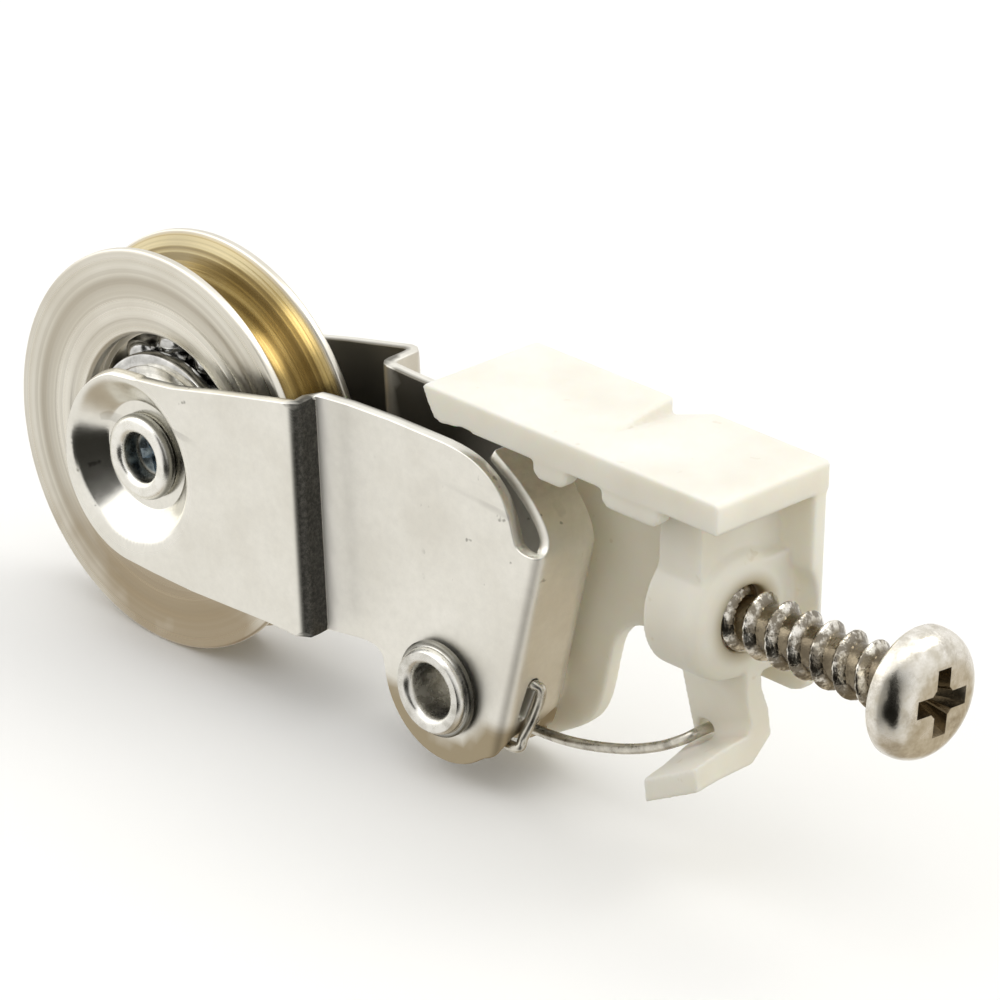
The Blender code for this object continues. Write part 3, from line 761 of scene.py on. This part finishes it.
def thread_radius(x, part):
    """Radius of the thread at x from the tip, for a part of a turn."""
    turns = ((x + THREAD_START) / THREAD_PITCH - part) % 1.0
    away = abs(turns - 0.5) * THREAD_PITCH
    crest = min(max(1.0 - (away - 0.07) / 0.52, 0.0), 1.0)
    taper = min(1.0, (x + 0.3) / 2.4)
    return (THREAD_MINOR + (THREAD_MAJOR - THREAD_MINOR) * crest ** 0.85) * taper


def dome_height(bend):
    """Height of the head over its foot, for the angle that its dome has turned inwards."""
    return HEAD_SIDE + (HEAD_HEIGHT - HEAD_SIDE) * math.sin(bend) ** 0.95


def build_screw():
    segments = 80
    steps = 190
    rows = []
    for k in range(steps + 1):
        x = SCREW_LENGTH * k / steps
        fade = rise(x, SCREW_LENGTH, SCREW_LENGTH - SHANK)
        rows.append([(x, SHANK_RADIUS + (thread_radius(x, i / segments) - SHANK_RADIUS) * fade)
                     for i in range(segments)])
    head = [(0.0, 2.25), (0.02, HEAD_RADIUS - 0.3), (0.1, HEAD_RADIUS - 0.1), (0.25, HEAD_RADIUS - 0.01),
            (0.55, HEAD_RADIUS)]
    for k in range(1, 19):
        bend = math.radians(90.0 * k / 18)
        share = HEAD_FLAT + (1.0 - HEAD_FLAT) * math.cos(bend) ** 0.8
        head.append((dome_height(bend), HEAD_RADIUS * share))
    head.append((HEAD_HEIGHT + 0.005, HEAD_RADIUS * 0.2))
    rows += [[(SCREW_LENGTH + x, radius)] * segments for x, radius in head]
    rings = [[(SCREW_TIP_X + x, radius * u, SCREW_Z + radius * v)
              for (x, radius), (u, v) in zip(row, circle(1.0, segments))] for row in rows]
    screw = mesh_object("pan_head_screw", *loft(rings), smooth=35.0)

    top = SCREW_HEAD_X + HEAD_HEIGHT
    levels = ((-2.3, 0.9, 0.34), (-1.1, 2.0, 0.52), (0.5, 2.75, 0.74))
    for degrees in RECESS_TURNS:
        arm = [[(top + depth, u, SCREW_Z + v) for u, v in slot(reach, half, degrees)]
               for depth, reach, half in levels]
        combine(screw, "recess", loft(arm))
    middle = [[(top + depth, u, SCREW_Z + v) for u, v in circle(radius, 24, 4.0 / 15.0)]
              for depth, radius in ((-2.4, 0.6), (0.5, 1.35))]
    combine(screw, "recess_middle", loft(middle))
    shade(screw.data, 33.0)
    return screw


# ---------------------------------------------------------------- spring

def spring_path():
    """Middle of the wire: the hook on the web, the coil and the long leg to its hole."""
    web = WEB_X + SHEET / 2 + WIRE_RADIUS + 0.1
    hook = [(web + WEB_LEAN * -6.4 - 1.5, -1.85, -6.45), (web + WEB_LEAN * -6.4 - 0.6, -1.75, -6.4),
            (web + WEB_LEAN * -6.7 - 0.05, -1.4, -6.75), (web + WEB_LEAN * -7.8, -1.35, -7.9),
            (web + WEB_LEAN * -9.3, -1.7, -9.4), (web + WEB_LEAN * -10.6 - 0.05, -2.2, -10.7),
            (38.3, -2.6, -11.4), (37.3, -2.72, -11.5), (36.2, -2.6, -11.2),
            (PIVOT[0] + COIL_RADIUS, COIL_Y[0], -10.0)]
    steps = int(COIL_TURNS * 56)
    turns = arc(*PIVOT, COIL_RADIUS, 0.0, 360.0 * COIL_TURNS, steps)
    coil = [(x, COIL_Y[0] + (COIL_Y[1] - COIL_Y[0]) * i / steps, z) for i, (x, z) in enumerate(turns)]
    leg = [coil[-1], (35.0, COIL_Y[1], -11.85), (40.2, 0.8, -11.4), (45.2, 0.7, -10.1),
           (49.1, 0.4, -8.4), (51.9, 0.2, -6.7), (SPRING_HOLE[0] - 0.05, 0.9, SPRING_HOLE[1]),
           (SPRING_HOLE[0], 2.6, SPRING_HOLE[1])]
    return curve_through(hook, 12)[:-1] + coil[:-1] + curve_through(leg, 14)


def build_spring():
    path = [Vector(p) for p in spring_path()]
    side = Vector((0.0, 1.0, 0.0))
    rings = []
    for i, point in enumerate(path):
        ahead = (path[min(i + 1, len(path) - 1)] - path[max(i - 1, 0)]).normalized()
        side = (side - ahead * side.dot(ahead)).normalized()
        other = ahead.cross(side)
        radius = WIRE_RADIUS * (0.75 if i in (0, len(path) - 1) else 1.0)
        rings.append([tuple(point + side * u + other * v) for u, v in circle(radius, 18)])
    return mesh_object("spring_wire", *loft(rings), smooth=60.0)


# ---------------------------------------------------------------- materials

class Nodes:
    """Short names for building the node tree of a material or the world."""

    def __init__(self, owner, coordinates):
        owner.use_nodes = True
        self.tree = owner.node_tree
        self.place = self.new("TexCoord").outputs[coordinates]

    def feed(self, node, name, value):
        """Link or set an input, named or numbered; where names repeat, the one in use."""
        socket = node.inputs[name]
        if not socket.enabled:
            socket = [s for s in node.inputs if s.name == name and s.enabled][0]
        if hasattr(value, "is_output"):
            self.tree.links.new(value, socket)
        else:
            socket.default_value = (*value, 1.0) if socket.type == "RGBA" else value

    def new(self, kind, inputs=(), **settings):
        node = self.tree.nodes.new("ShaderNode" + kind)
        for name, value in settings.items():
            setattr(node, name, value)
        for name, value in dict(inputs).items():
            self.feed(node, name, value)
        return node

    def noise(self, scale, detail=3.0, rough=0.55, stretch=(1, 1, 1), offset=(0, 0, 0)):
        """Noise with features of about 1/scale metres."""
        moved = self.new("Mapping", {"Vector": self.place, "Scale": stretch, "Location": offset})
        inputs = {"Vector": moved.outputs["Vector"], "Scale": scale, "Detail": detail, "Roughness": rough}
        return self.new("TexNoise", inputs).outputs["Fac"]

    def ramp(self, value, *stops):
        node = self.new("ValToRGB", {"Fac": value})
        elements = node.color_ramp.elements
        while len(elements) < len(stops):
            elements.new(0.5)
        for element, (at, colour) in zip(elements, stops):
            element.position = at
            element.color = (*colour, 1.0)
        return node.outputs["Color"]

    def scale(self, value, low, high, out_low=0.0, out_high=1.0, kind="LINEAR"):
        inputs = {"Value": value, "From Min": low, "From Max": high, "To Min": out_low, "To Max": out_high}
        return self.new("MapRange", inputs, interpolation_type=kind).outputs["Result"]

    def math(self, operation, a, b):
        return self.new("Math", {0: a, 1: b}, operation=operation).outputs["Value"]

    def times(self, a, b):
        return self.math("MULTIPLY", a, b)

    def plus(self, a, b):
        return self.math("ADD", a, b)

    def mix(self, factor, a, b):
        node = self.new("Mix", {"Factor": factor, "A": a, "B": b}, data_type="RGBA")
        return [s for s in node.outputs if s.enabled][0]


class Surface(Nodes):
    """A material on the Principled shader, whose base colour is laid on in coats."""

    def __init__(self, name):
        self.material = bpy.data.materials.new(name)
        super().__init__(self.material, "Object")
        self.colour = None

    def coat(self, factor, colour):
        self.colour = self.mix(factor, self.colour, colour)

    def mark(self, name, share=1.0):
        """A float that the mesh carries, times share."""
        return self.times(self.new("Attribute", attribute_name=name).outputs["Fac"], share)

    def part(self, letter):
        """One coordinate of the place, in metres."""
        return self.new("SeparateXYZ", {"Vector": self.place}).outputs[letter]

    def radius(self, x, z):
        """Distance from an axis along Y through a point given in millimetres from the axle."""
        centre = place((x, 0.0, z))
        inputs = {0: self.place, 1: (1.0, 0.0, 1.0), 2: (-centre.x, 0.0, -centre.z)}
        flat = self.new("VectorMath", inputs, operation="MULTIPLY_ADD").outputs["Vector"]
        return self.new("VectorMath", {0: flat}, operation="LENGTH").outputs["Value"]

    def rings(self, x, z, scale, detail=4.0):
        """Noise that changes only with the distance from an axis: turned marks."""
        inputs = {"W": self.radius(x, z), "Scale": scale, "Detail": detail, "Roughness": 0.6}
        return self.new("TexNoise", inputs, noise_dimensions="1D").outputs["Fac"]

    def bump(self, height, depth, strength):
        """Bump whose full height is depth, in millimetres."""
        inputs = {"Height": height, "Distance": depth * MM, "Strength": strength}
        return self.new("Bump", inputs).outputs["Normal"]

    def finish(self, **more):
        """Feed the shader its base colour and whatever is named, with _ for a space."""
        feeds = {"Base Color": self.colour}
        for name, value in more.items():
            feeds[name.replace("_", " ")] = value
        for name, value in feeds.items():
            self.feed(self.tree.nodes["Principled BSDF"], name, value)
        return self.material


def sheet_material():
    n = Surface("zinc_plated_sheet")
    cloud = n.noise(170.0, 4.0, 0.6)
    fine = n.noise(1500.0, 3.0, 0.7)
    n.colour = n.ramp(cloud, (0.30, (0.80, 0.78, 0.715)), (0.52, (0.87, 0.855, 0.795)),
                      (0.72, (0.92, 0.905, 0.85)))
    n.coat(n.scale(fine, 0.35, 0.72, 0.0, 0.22), (0.66, 0.65, 0.61))
    specks = n.scale(n.noise(900.0, 2.0, 0.5, offset=(0.3, 0.1, 0.2)), 0.69, 0.74)
    where = n.scale(n.noise(110.0, 1.0, 0.5, offset=(0.12, 0.4, 0.07)), 0.50, 0.62)
    n.coat(n.times(n.times(specks, where), 0.75), (0.27, 0.26, 0.23))
    scratch = n.noise(420.0, 2.0, 0.5, stretch=(0.12, 1.0, 1.0), offset=(0.02, 0.0, 0.03))
    scratch = n.times(n.scale(scratch, 0.66, 0.70), where)
    n.coat(n.times(scratch, 0.5), (0.42, 0.41, 0.38))
    # Painted dark reflection on the step of the near jog, with a fine grain; the bend mark carries it.
    painted_jog_reflection = n.ramp(n.noise(3400.0, 3.0, 0.8), (0.42, (0.022, 0.021, 0.018)), (0.72, (0.13, 0.125, 0.11)))
    n.coat(n.mark("bend", 0.93), painted_jog_reflection)
    scuff = n.ramp(n.noise(700.0, 4.0, 0.7, stretch=(0.6, 0.6, 1.6)),
                   (0.34, (0.30, 0.29, 0.25)), (0.62, (0.62, 0.60, 0.54)))
    n.coat(n.mark("worn", 0.4), scuff)
    # Painted shade on the inner faces between the two plates.
    n.coat(n.mark("inner", 0.92), (0.13, 0.12, 0.095))
    # Painted brown reflection of the shaded ground along the bottom of the pivot lugs.
    n.coat(n.mark("low", 0.95), (0.36, 0.295, 0.19))
    # Painted light: a pale strip beside the near jog, against the jog's painted dark reflection.
    n.coat(n.mark("matte", 0.8), (0.97, 0.955, 0.91))
    plain = n.scale(n.radius(0.0, 0.0), 0.0070, 0.0076)      # off the dish
    rough = n.plus(n.scale(cloud, 0.3, 0.7, 0.15, 0.22), n.times(plain, 0.22))
    rough = n.plus(rough, n.plus(n.mark("bend", 0.15), n.mark("worn", 0.10)))
    height = n.math("SUBTRACT", n.plus(n.times(fine, 0.35), cloud), n.times(scratch, 0.4))
    return n.finish(Metallic=1.0, Roughness=rough, Normal=n.bump(height, 0.02, 0.6))


def wheel_material():
    """Turned steel: bright on the faces, yellow chromate in the groove, a painted brown reflection of the
    shaded ground low down.
    """
    n = Surface("turned_wheel_steel")
    marks = n.rings(0.0, 0.0, 1500.0)
    broad = n.rings(0.0, 0.0, 420.0, 2.0)
    stain = n.noise(95.0, 3.0, 0.6)
    n.colour = n.ramp(broad, (0.34, (0.54, 0.50, 0.42)), (0.48, (0.76, 0.73, 0.645)),
                      (0.62, (0.92, 0.895, 0.82)))
    n.coat(n.scale(marks, 0.42, 0.62, 0.0, 0.34), (0.46, 0.43, 0.365))
    n.coat(n.scale(stain, 0.42, 0.66, 0.0, 0.35), (0.56, 0.51, 0.42))
    # Painted brown reflection of the shaded ground on the wheel's lower part, patchy with the stain noise.
    low = n.times(n.scale(n.part("Z"), -0.0195, -0.0275), n.scale(stain, 0.26, 0.50))
    n.coat(n.times(low, 0.85), (0.34, 0.265, 0.165))
    streak = n.scale(n.rings(0.0, 0.0, 900.0, 2.0), 0.40, 0.60)
    gold = n.ramp(streak, (0.2, (0.30, 0.235, 0.12)), (0.5, (0.47, 0.38, 0.20)), (0.8, (0.66, 0.57, 0.35)))
    gold = n.mix(n.scale(stain, 0.40, 0.68, 0.0, 0.35), gold, (0.60, 0.53, 0.38))
    n.coat(n.mark("groove"), gold)
    rough = n.times(n.scale(marks, 0.3, 0.7, 0.24, 0.40), n.scale(n.mark("groove"), 0.0, 1.0, 1.0, 0.6))
    tangent = n.new("Tangent", direction_type="RADIAL", axis="Y").outputs["Tangent"]
    height = n.plus(marks, n.times(broad, 0.8))
    return n.finish(Metallic=1.0, Roughness=rough, Normal=n.bump(height, 0.03, 0.7), Anisotropic=0.6,
                    Anisotropic_Rotation=0.25, Tangent=tangent)


def plain_steel(name, dark, light, rough, axis=(0.0, 0.0), marks=0.0):
    """Plated or polished steel with faint clouding, painted shade where the mesh carries a shade mark and, if
    marks is set, turned rings.
    """
    n = Surface(name)
    cloud = n.noise(900.0, 4.0, 0.62)
    n.colour = n.ramp(cloud, (0.32, dark), (0.62, light))
    height = cloud
    if marks:
        turned = n.rings(*axis, 2200.0)
        n.coat(n.scale(turned, 0.4, 0.65, 0.0, marks), tuple(0.55 * c for c in dark))
        height = n.plus(cloud, turned)
    # Painted shade where the mesh carries the shade mark.
    n.coat(n.mark("shade", 0.85), (0.09, 0.085, 0.065))
    return n.finish(Metallic=1.0, Roughness=n.scale(cloud, 0.3, 0.7, rough * 0.75, rough * 1.3),
                    Normal=n.bump(height, 0.012, 0.5))


def rivet_material():
    """Zinc plating, with blue-grey passivation deep in the blind bore."""
    n = Surface("axle_rivet_zinc")
    cloud = n.noise(800.0, 4.0, 0.62)
    n.colour = n.ramp(cloud, (0.32, (0.82, 0.805, 0.75)), (0.62, (0.97, 0.96, 0.915)))
    deep = n.times(n.scale(n.part("Y"), -0.0052, -0.0046), n.scale(n.part("Y"), 0.001, -0.001))
    patch = n.ramp(n.noise(1300.0, 2.0, 0.5), (0.38, (0.16, 0.20, 0.24)), (0.62, (0.44, 0.53, 0.60)))
    n.coat(n.times(n.scale(n.radius(0.0, 0.0), 0.00172, 0.00152), deep), patch)
    # Painted shade on the rim's side and down the bore's wall, where the shade mark is set.
    n.coat(n.mark("shade", 0.85), (0.13, 0.125, 0.10))
    return n.finish(Metallic=1.0, Roughness=n.scale(cloud, 0.3, 0.7, 0.2, 0.34),
                    Normal=n.bump(cloud, 0.02, 0.5))


def nylon_material():
    n = Surface("natural_nylon")
    cloud = n.noise(120.0, 3.0, 0.5)
    n.colour = n.ramp(cloud, (0.30, (0.77, 0.745, 0.67)), (0.55, (0.83, 0.815, 0.755)),
                      (0.75, (0.86, 0.85, 0.80)))
    n.coat(n.scale(n.noise(700.0, 2.0, 0.5), 0.70, 0.76, 0.0, 0.35), (0.62, 0.56, 0.44))
    # Painted brown shade on the nylon round the screw's bore.
    n.coat(n.times(n.mark("stain"), n.scale(cloud, 0.3, 0.6, 0.7, 0.95)), (0.46, 0.375, 0.22))
    flow = n.noise(260.0, 2.0, 0.4, stretch=(0.35, 1.0, 1.0))
    height = n.plus(n.times(flow, 0.7), n.times(n.noise(2600.0, 2.0, 0.5), 0.12))
    return n.finish(Roughness=n.scale(cloud, 0.3, 0.7, 0.38, 0.52), Normal=n.bump(height, 0.09, 0.55),
                    IOR=1.5, Subsurface_Weight=0.55, Subsurface_Radius=(1.0, 0.78, 0.5),
                    Subsurface_Scale=0.0022)


def screw_material():
    n = Surface("nickel_screw")
    cloud = n.noise(900.0, 3.0, 0.6)
    n.colour = n.ramp(cloud, (0.32, (0.66, 0.62, 0.53)), (0.62, (0.90, 0.875, 0.82)))
    n.coat(n.scale(n.noise(420.0, 4.0, 0.7), 0.52, 0.70, 0.0, 0.55), (0.38, 0.335, 0.26))
    # Painted shade at the bottom of the thread.
    n.coat(n.mark("root"), (0.22, 0.185, 0.13))
    # Painted shade inside the cross recess.
    n.coat(n.mark("recess", 0.85), (0.34, 0.285, 0.20))
    # Painted dark reflection along the near shoulder of the head.
    n.coat(n.times(n.mark("tarnish"), n.scale(cloud, 0.25, 0.6, 0.7, 0.9)), (0.15, 0.14, 0.115))
    thread = n.scale(n.part("X"), place((SCREW_HEAD_X, 0, 0)).x, place((SCREW_HEAD_X - 0.6, 0, 0)).x)
    grime = n.times(thread, n.scale(n.noise(950.0, 3.0, 0.7), 0.42, 0.54))
    n.coat(n.times(grime, 0.85), (0.14, 0.115, 0.08))
    rough_cast = n.times(thread, n.noise(1300.0, 3.0, 0.65))
    height = n.plus(n.times(rough_cast, 5.0), n.noise(2500.0, 2.0, 0.6))
    return n.finish(Metallic=1.0, Roughness=n.scale(cloud, 0.3, 0.7, 0.14, 0.30),
                    Normal=n.bump(height, 0.018, 0.7))


def floor_material():
    n = Surface("pale_floor")
    n.colour = n.ramp(n.noise(3.0, 3.0, 0.5), (0.3, (0.95, 0.95, 0.95)), (0.7, (0.97, 0.97, 0.97)))
    return n.finish(Roughness=0.9)


# ---------------------------------------------------------------- marks that the materials read

def mark(item, name, weigh, domain="POINT"):
    """A float on each vertex or face, from its place in millimetres from the axle."""
    if domain == "POINT":
        spots = [vertex.co for vertex in item.data.vertices]
    else:
        spots = [face.center for face in item.data.polygons]
    layer = item.data.attributes.new(name, "FLOAT", domain)
    layer.data.foreach_set("value", [weigh(spot / MM + SEAT) for spot in spots])


def jog_reflection_weight(p):
    """1 on the step of the near jog, where its dark reflection is painted."""
    on_step = rise(abs(beside_jog(NEAR_JOG, p.x, p.z) - 0.47), 0.75, 0.55)
    return rise(p.y, -6.66, -6.44) * rise(p.y, -4.18, -4.24) * on_step


def worn_weight(p):
    """1 on the tongue and over the web's upper edge, where the screw has rubbed."""
    return rise(p.z, 7.5, 9.5) if p.x > 30.0 and -2.9 < p.y < 1.8 else 0.0


def inner_shade_weight(p):
    """1 on the inner faces of the two plates, where shade between them is painted, less towards the fold and
    the far jog.
    """
    if math.hypot(p.x, p.z) < 7.4 or p.x > 38.0:
        return 0.0
    plate_y = jog(p.x, p.z, *(NEAR_SIDE if p.y < 0.0 else FAR_SIDE))[1]
    glint = 0.7 * rise(abs(beside_jog(FAR_JOG, p.x, p.z) - 1.0), 0.65, 0.35) if p.y > 0.0 else 0.0
    return rise(abs(plate_y) - abs(p.y), 0.0, 0.4) * rise(p.x, 32.0, 26.0) * (1.0 - glint)


def matte_weight(p):
    """1 on the strip of the near plate beside its jog, where light is painted."""
    beside = beside_jog(NEAR_JOG, p.x, p.z) - NEAR_HALF
    on_face = NEAR_Y - 0.56 <= p.y <= NEAR_Y and beside >= -0.1
    return rise(beside, 2.0, 0.4) if on_face else 0.0


def lug_reflection_weight(p):
    """1 along the bottom of the pivot lugs, where a brown reflection of the shaded ground is painted."""
    return rise(math.hypot(p.x - LUG[0], p.z - LUG[1]), 4.1, 4.8) * rise(p.z, -9.0, -10.4)


def groove_weight(p):
    """1 between the wheel's lips."""
    radius = math.hypot(p.x, p.z)
    edge = 1.05 + 1.45 * (radius - 11.3) / 4.5
    return rise(radius, 15.82, 15.62) if radius >= 11.0 and abs(p.y) <= edge + 0.25 else 0.0


def axle_shade_weight(p):
    """1 on the side of the axle rivet's rim and down the wall of its bore, where shade is painted."""
    radius = math.hypot(p.x, p.z)
    bore = rise(p.y, -5.3, -4.8) * rise(radius, 2.05, 1.95) * rise(radius, 1.6, 1.7)
    return max(rise(radius, 3.2, 3.38), bore) if p.y <= 0.0 else 0.0


def pivot_shade_weight(p):
    """1 on the side of the pivot rivet's rim where shade is painted."""
    return rise(math.hypot(p.x - PIVOT[0], p.z - PIVOT[1]), 3.32, 3.52) if p.y < 0.0 else 0.0


def bore_shade_weight(p):
    """1 round the screw's bore, where brown shade is painted on the nylon."""
    return rise(math.hypot(p.y, p.z - SCREW_Z), 3.8, 2.3) * rise(p.x, 55.5, 57.0) if p.x < 58.5 else 0.0


def tarnish_weight(p):
    """1 on the patch along the near shoulder of the screw's head, where a dark reflection is painted."""
    along = p.x - SCREW_HEAD_X
    around = math.degrees(math.atan2(p.z - SCREW_Z, -p.y))
    across = rise(along, 0.85, 1.35) * rise(along, 2.85, 2.05)
    return across * rise(around, -28.0, 4.0) * rise(around, 62.0, 26.0)


def root_weight(p):
    """1 at the bottom of the screw's thread, where shade is painted."""
    radius = math.hypot(p.y, p.z - SCREW_Z)
    return rise(radius, THREAD_MINOR + 0.4, THREAD_MINOR) if p.x <= SCREW_HEAD_X - 0.05 else 0.0


def recess_shade_weight(p):
    """1 in the recess of the screw's head, which lies under the dome; shade is painted there."""
    radius = math.hypot(p.y, p.z - SCREW_Z)
    share = min(max((radius / HEAD_RADIUS - HEAD_FLAT) / (1.0 - HEAD_FLAT), 0.0), 1.0) ** 1.25
    dome = dome_height(math.acos(share))
    return 1.0 if radius < 3.2 and 0.3 < p.x - SCREW_HEAD_X < dome - 0.1 else 0.0


# ---------------------------------------------------------------- pieces on their bodies

def paint(item, material):
    item.data.materials.clear()
    item.data.materials.append(material)


def add(item, body, node, slot_name, material, **marks):
    for name, weigh in marks.items():
        mark(item, name, weigh)
    paint(item, material)
    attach(item, body)
    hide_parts(node)


bearing = plain_steel("bearing_steel", (0.52, 0.52, 0.51), (0.80, 0.80, 0.79), 0.16, (0, 0), 0.25)
pivot_zinc = plain_steel("pivot_rivet_zinc", (0.60, 0.585, 0.54), (0.88, 0.87, 0.83), 0.26, PIVOT, 0.2)

add(build_sheet(), "frame", "swing_frame", "zinc_sheet", sheet_material(),
    bend=jog_reflection_weight, worn=worn_weight, inner=inner_shade_weight, low=lug_reflection_weight, matte=matte_weight)
add(build_wheel(), "roller", "wheel", "yellow_zinc", wheel_material(), groove=groove_weight)
add(build_cone("near_bearing_cone", -1.0), "frame", "near_race_cone", "bearing_steel", bearing)
add(build_cone("far_bearing_cone", 1.0), "frame", "far_race_cone", "bearing_steel", bearing)
for index in range(BALL_COUNT):
    add(build_ball(index), "ball_train", "ball_%02d" % (index + 1), "bearing_steel", bearing)
add(build_axle(), "frame", "axle_rivet", "zinc_rivet", rivet_material(), shade=axle_shade_weight)
add(build_pivot(), "frame", "pivot_rivet", "zinc_rivet", pivot_zinc, shade=pivot_shade_weight)
add(build_housing(), "housing", "nylon_housing", "nylon", nylon_material(), stain=bore_shade_weight)
screw = build_screw()
mark(screw, "recess", recess_shade_weight, "FACE")
add(screw, "screw", "adjusting_screw", "nickel_screw", screw_material(),
    tarnish=tarnish_weight, root=root_weight)

spring = build_spring()
paint(spring, plain_steel("spring_steel", (0.38, 0.36, 0.315), (0.72, 0.695, 0.62), 0.3))
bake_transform(spring)
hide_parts("torsion_spring")


# ---------------------------------------------------------------- floor, light and camera

FLOOR_REACH = 3.0                 # metres
FLOOR_GAP = 0.00005
SIDE_LIGHT = (0.52, 0.495, 0.42)
TOP_LIGHT = (0.93, 0.93, 0.92)
END_LIGHT = (1.5, 1.44, 1.27)
WHITE_CARD = (1.7, 1.68, 1.64)
DARK_CARD = (0.03, 0.029, 0.025)
# What the metal sees: azimuth, elevation, inner and outer angle in degrees, colour
LOBES = ((0.0, 90.0, 35.0, 100.0, (1.0, 0.99, 0.97)),
         (0.0, -90.0, 14.0, 44.0, (0.46, 0.40, 0.31)),
         (-50.0, 40.0, 13.0, 34.0, WHITE_CARD),
         (-14.0, 50.0, 9.0, 22.0, WHITE_CARD),
         (-84.0, 18.0, 8.0, 30.0, WHITE_CARD),
         (0.0, 90.0, 15.0, 38.0, (1.35, 1.34, 1.31)),
         (150.0, -46.0, 15.0, 45.0, (0.54, 0.465, 0.345)),
         (152.0, 56.0, 8.0, 20.0, (4.8, 4.7, 4.4)),
         (48.0, -20.0, 16.0, 28.0, DARK_CARD),
         (24.0, -16.0, 12.0, 22.0, DARK_CARD),
         (40.0, 2.0, 13.0, 24.0, DARK_CARD),
         (31.0, 20.0, 10.0, 20.0, DARK_CARD),
         (20.0, 35.0, 8.0, 16.0, DARK_CARD))
LIGHT_DISTANCE = 0.7              # metres from the middle of the part
CAMERA_PLACE = (314.5168, -287.7106, 188.8058)
CAMERA_TURNS = (-44.35455, -24.43933, 1.24893)    # yaw, pitch and roll in degrees
CAMERA_LENS = 218.734


def direction(azimuth, elevation):
    """Unit vector away from the part; azimuth runs from the viewer's side towards the screw's head."""
    a, e = math.radians(azimuth), math.radians(elevation)
    return Vector((math.sin(a) * math.cos(e), -math.cos(a) * math.cos(e), math.sin(e)))


def build_floor():
    low = CAD_BOX[0][2] - FLOOR_GAP
    mesh = bpy.data.meshes.new("floor")
    corners = [(x * FLOOR_REACH, y * FLOOR_REACH, low) for x, y in ((-1, -1), (1, -1), (1, 1), (-1, 1))]
    mesh.from_pydata(corners, [], [(0, 1, 2, 3)])
    mesh.materials.append(floor_material())
    floor = link(bpy.data.objects.new("floor", mesh))
    floor.visible_glossy = False
    floor.visible_diffuse = False


def build_world():
    """A soft white studio as seen by the metal, with the dark gap where the camera stands."""
    world = bpy.data.worlds.new("studio")
    bpy.context.scene.world = world
    n = Nodes(world, "Generated")

    def lobe(azimuth, elevation, inner, outer):
        """1 within the inner angle of a direction, 0 outside the outer one, in degrees."""
        inputs = {0: n.place, 1: direction(azimuth, elevation)}
        near = n.new("VectorMath", inputs, operation="DOT_PRODUCT").outputs["Value"]
        limits = [math.cos(math.radians(angle)) for angle in (outer, inner)]
        return n.scale(near, *limits, kind="SMOOTHSTEP")

    light = (0.91, 0.89, 0.85)
    for *shape, colour in LOBES:
        light = n.mix(lobe(*shape), light, colour)
    soft = n.mix(lobe(0.0, 90.0, 20.0, 110.0), SIDE_LIGHT, TOP_LIGHT)
    soft = n.mix(lobe(105.0, 0.0, 12.0, 55.0), soft, END_LIGHT)
    ray = n.new("LightPath").outputs
    light = n.mix(ray["Is Diffuse Ray"], light, soft)
    light = n.mix(ray["Is Camera Ray"], light, (0.98, 0.98, 0.975))
    n.feed(n.tree.nodes["Background"], "Color", light)


def add_light(name, azimuth, elevation, size, power, colour):
    data = bpy.data.lights.new(name, "AREA")
    data.shape = "DISK"
    data.size = size
    data.energy = power
    data.color = colour
    item = link(bpy.data.objects.new(name, data))
    away = direction(azimuth, elevation)
    item.location = place((30.0, 0.0, 0.0)) + away * LIGHT_DISTANCE
    item.rotation_euler = away.to_track_quat("Z", "Y").to_euler()


def build_camera():
    """The photograph's viewpoint: far off to the right and above, with a slight roll."""
    yaw, pitch, roll = (math.radians(angle) for angle in CAMERA_TURNS)
    forward = Vector((math.sin(yaw) * math.cos(pitch), math.cos(yaw) * math.cos(pitch), math.sin(pitch)))
    level = Vector((math.cos(yaw), -math.sin(yaw), 0.0))
    upright = level.cross(forward)
    right = level * math.cos(roll) + upright * math.sin(roll)
    up = upright * math.cos(roll) - level * math.sin(roll)
    data = bpy.data.cameras.new("camera")
    data.sensor_width = 36.0
    data.lens = CAMERA_LENS
    data.clip_start = 0.01
    item = link(bpy.data.objects.new("camera", data))
    turned = Matrix((right, up, -forward)).transposed().to_4x4()
    item.matrix_world = Matrix.Translation(place(CAMERA_PLACE)) @ turned
    bpy.context.scene.camera = item


build_floor()
build_world()
add_light("key", -50.0, 42.0, 0.35, 0.2, (1.0, 0.99, 0.97))
add_light("top", 20.0, 78.0, 0.40, 0.3, (1.0, 1.0, 0.99))
build_camera()
bpy.context.scene.view_settings.view_transform = "Standard"
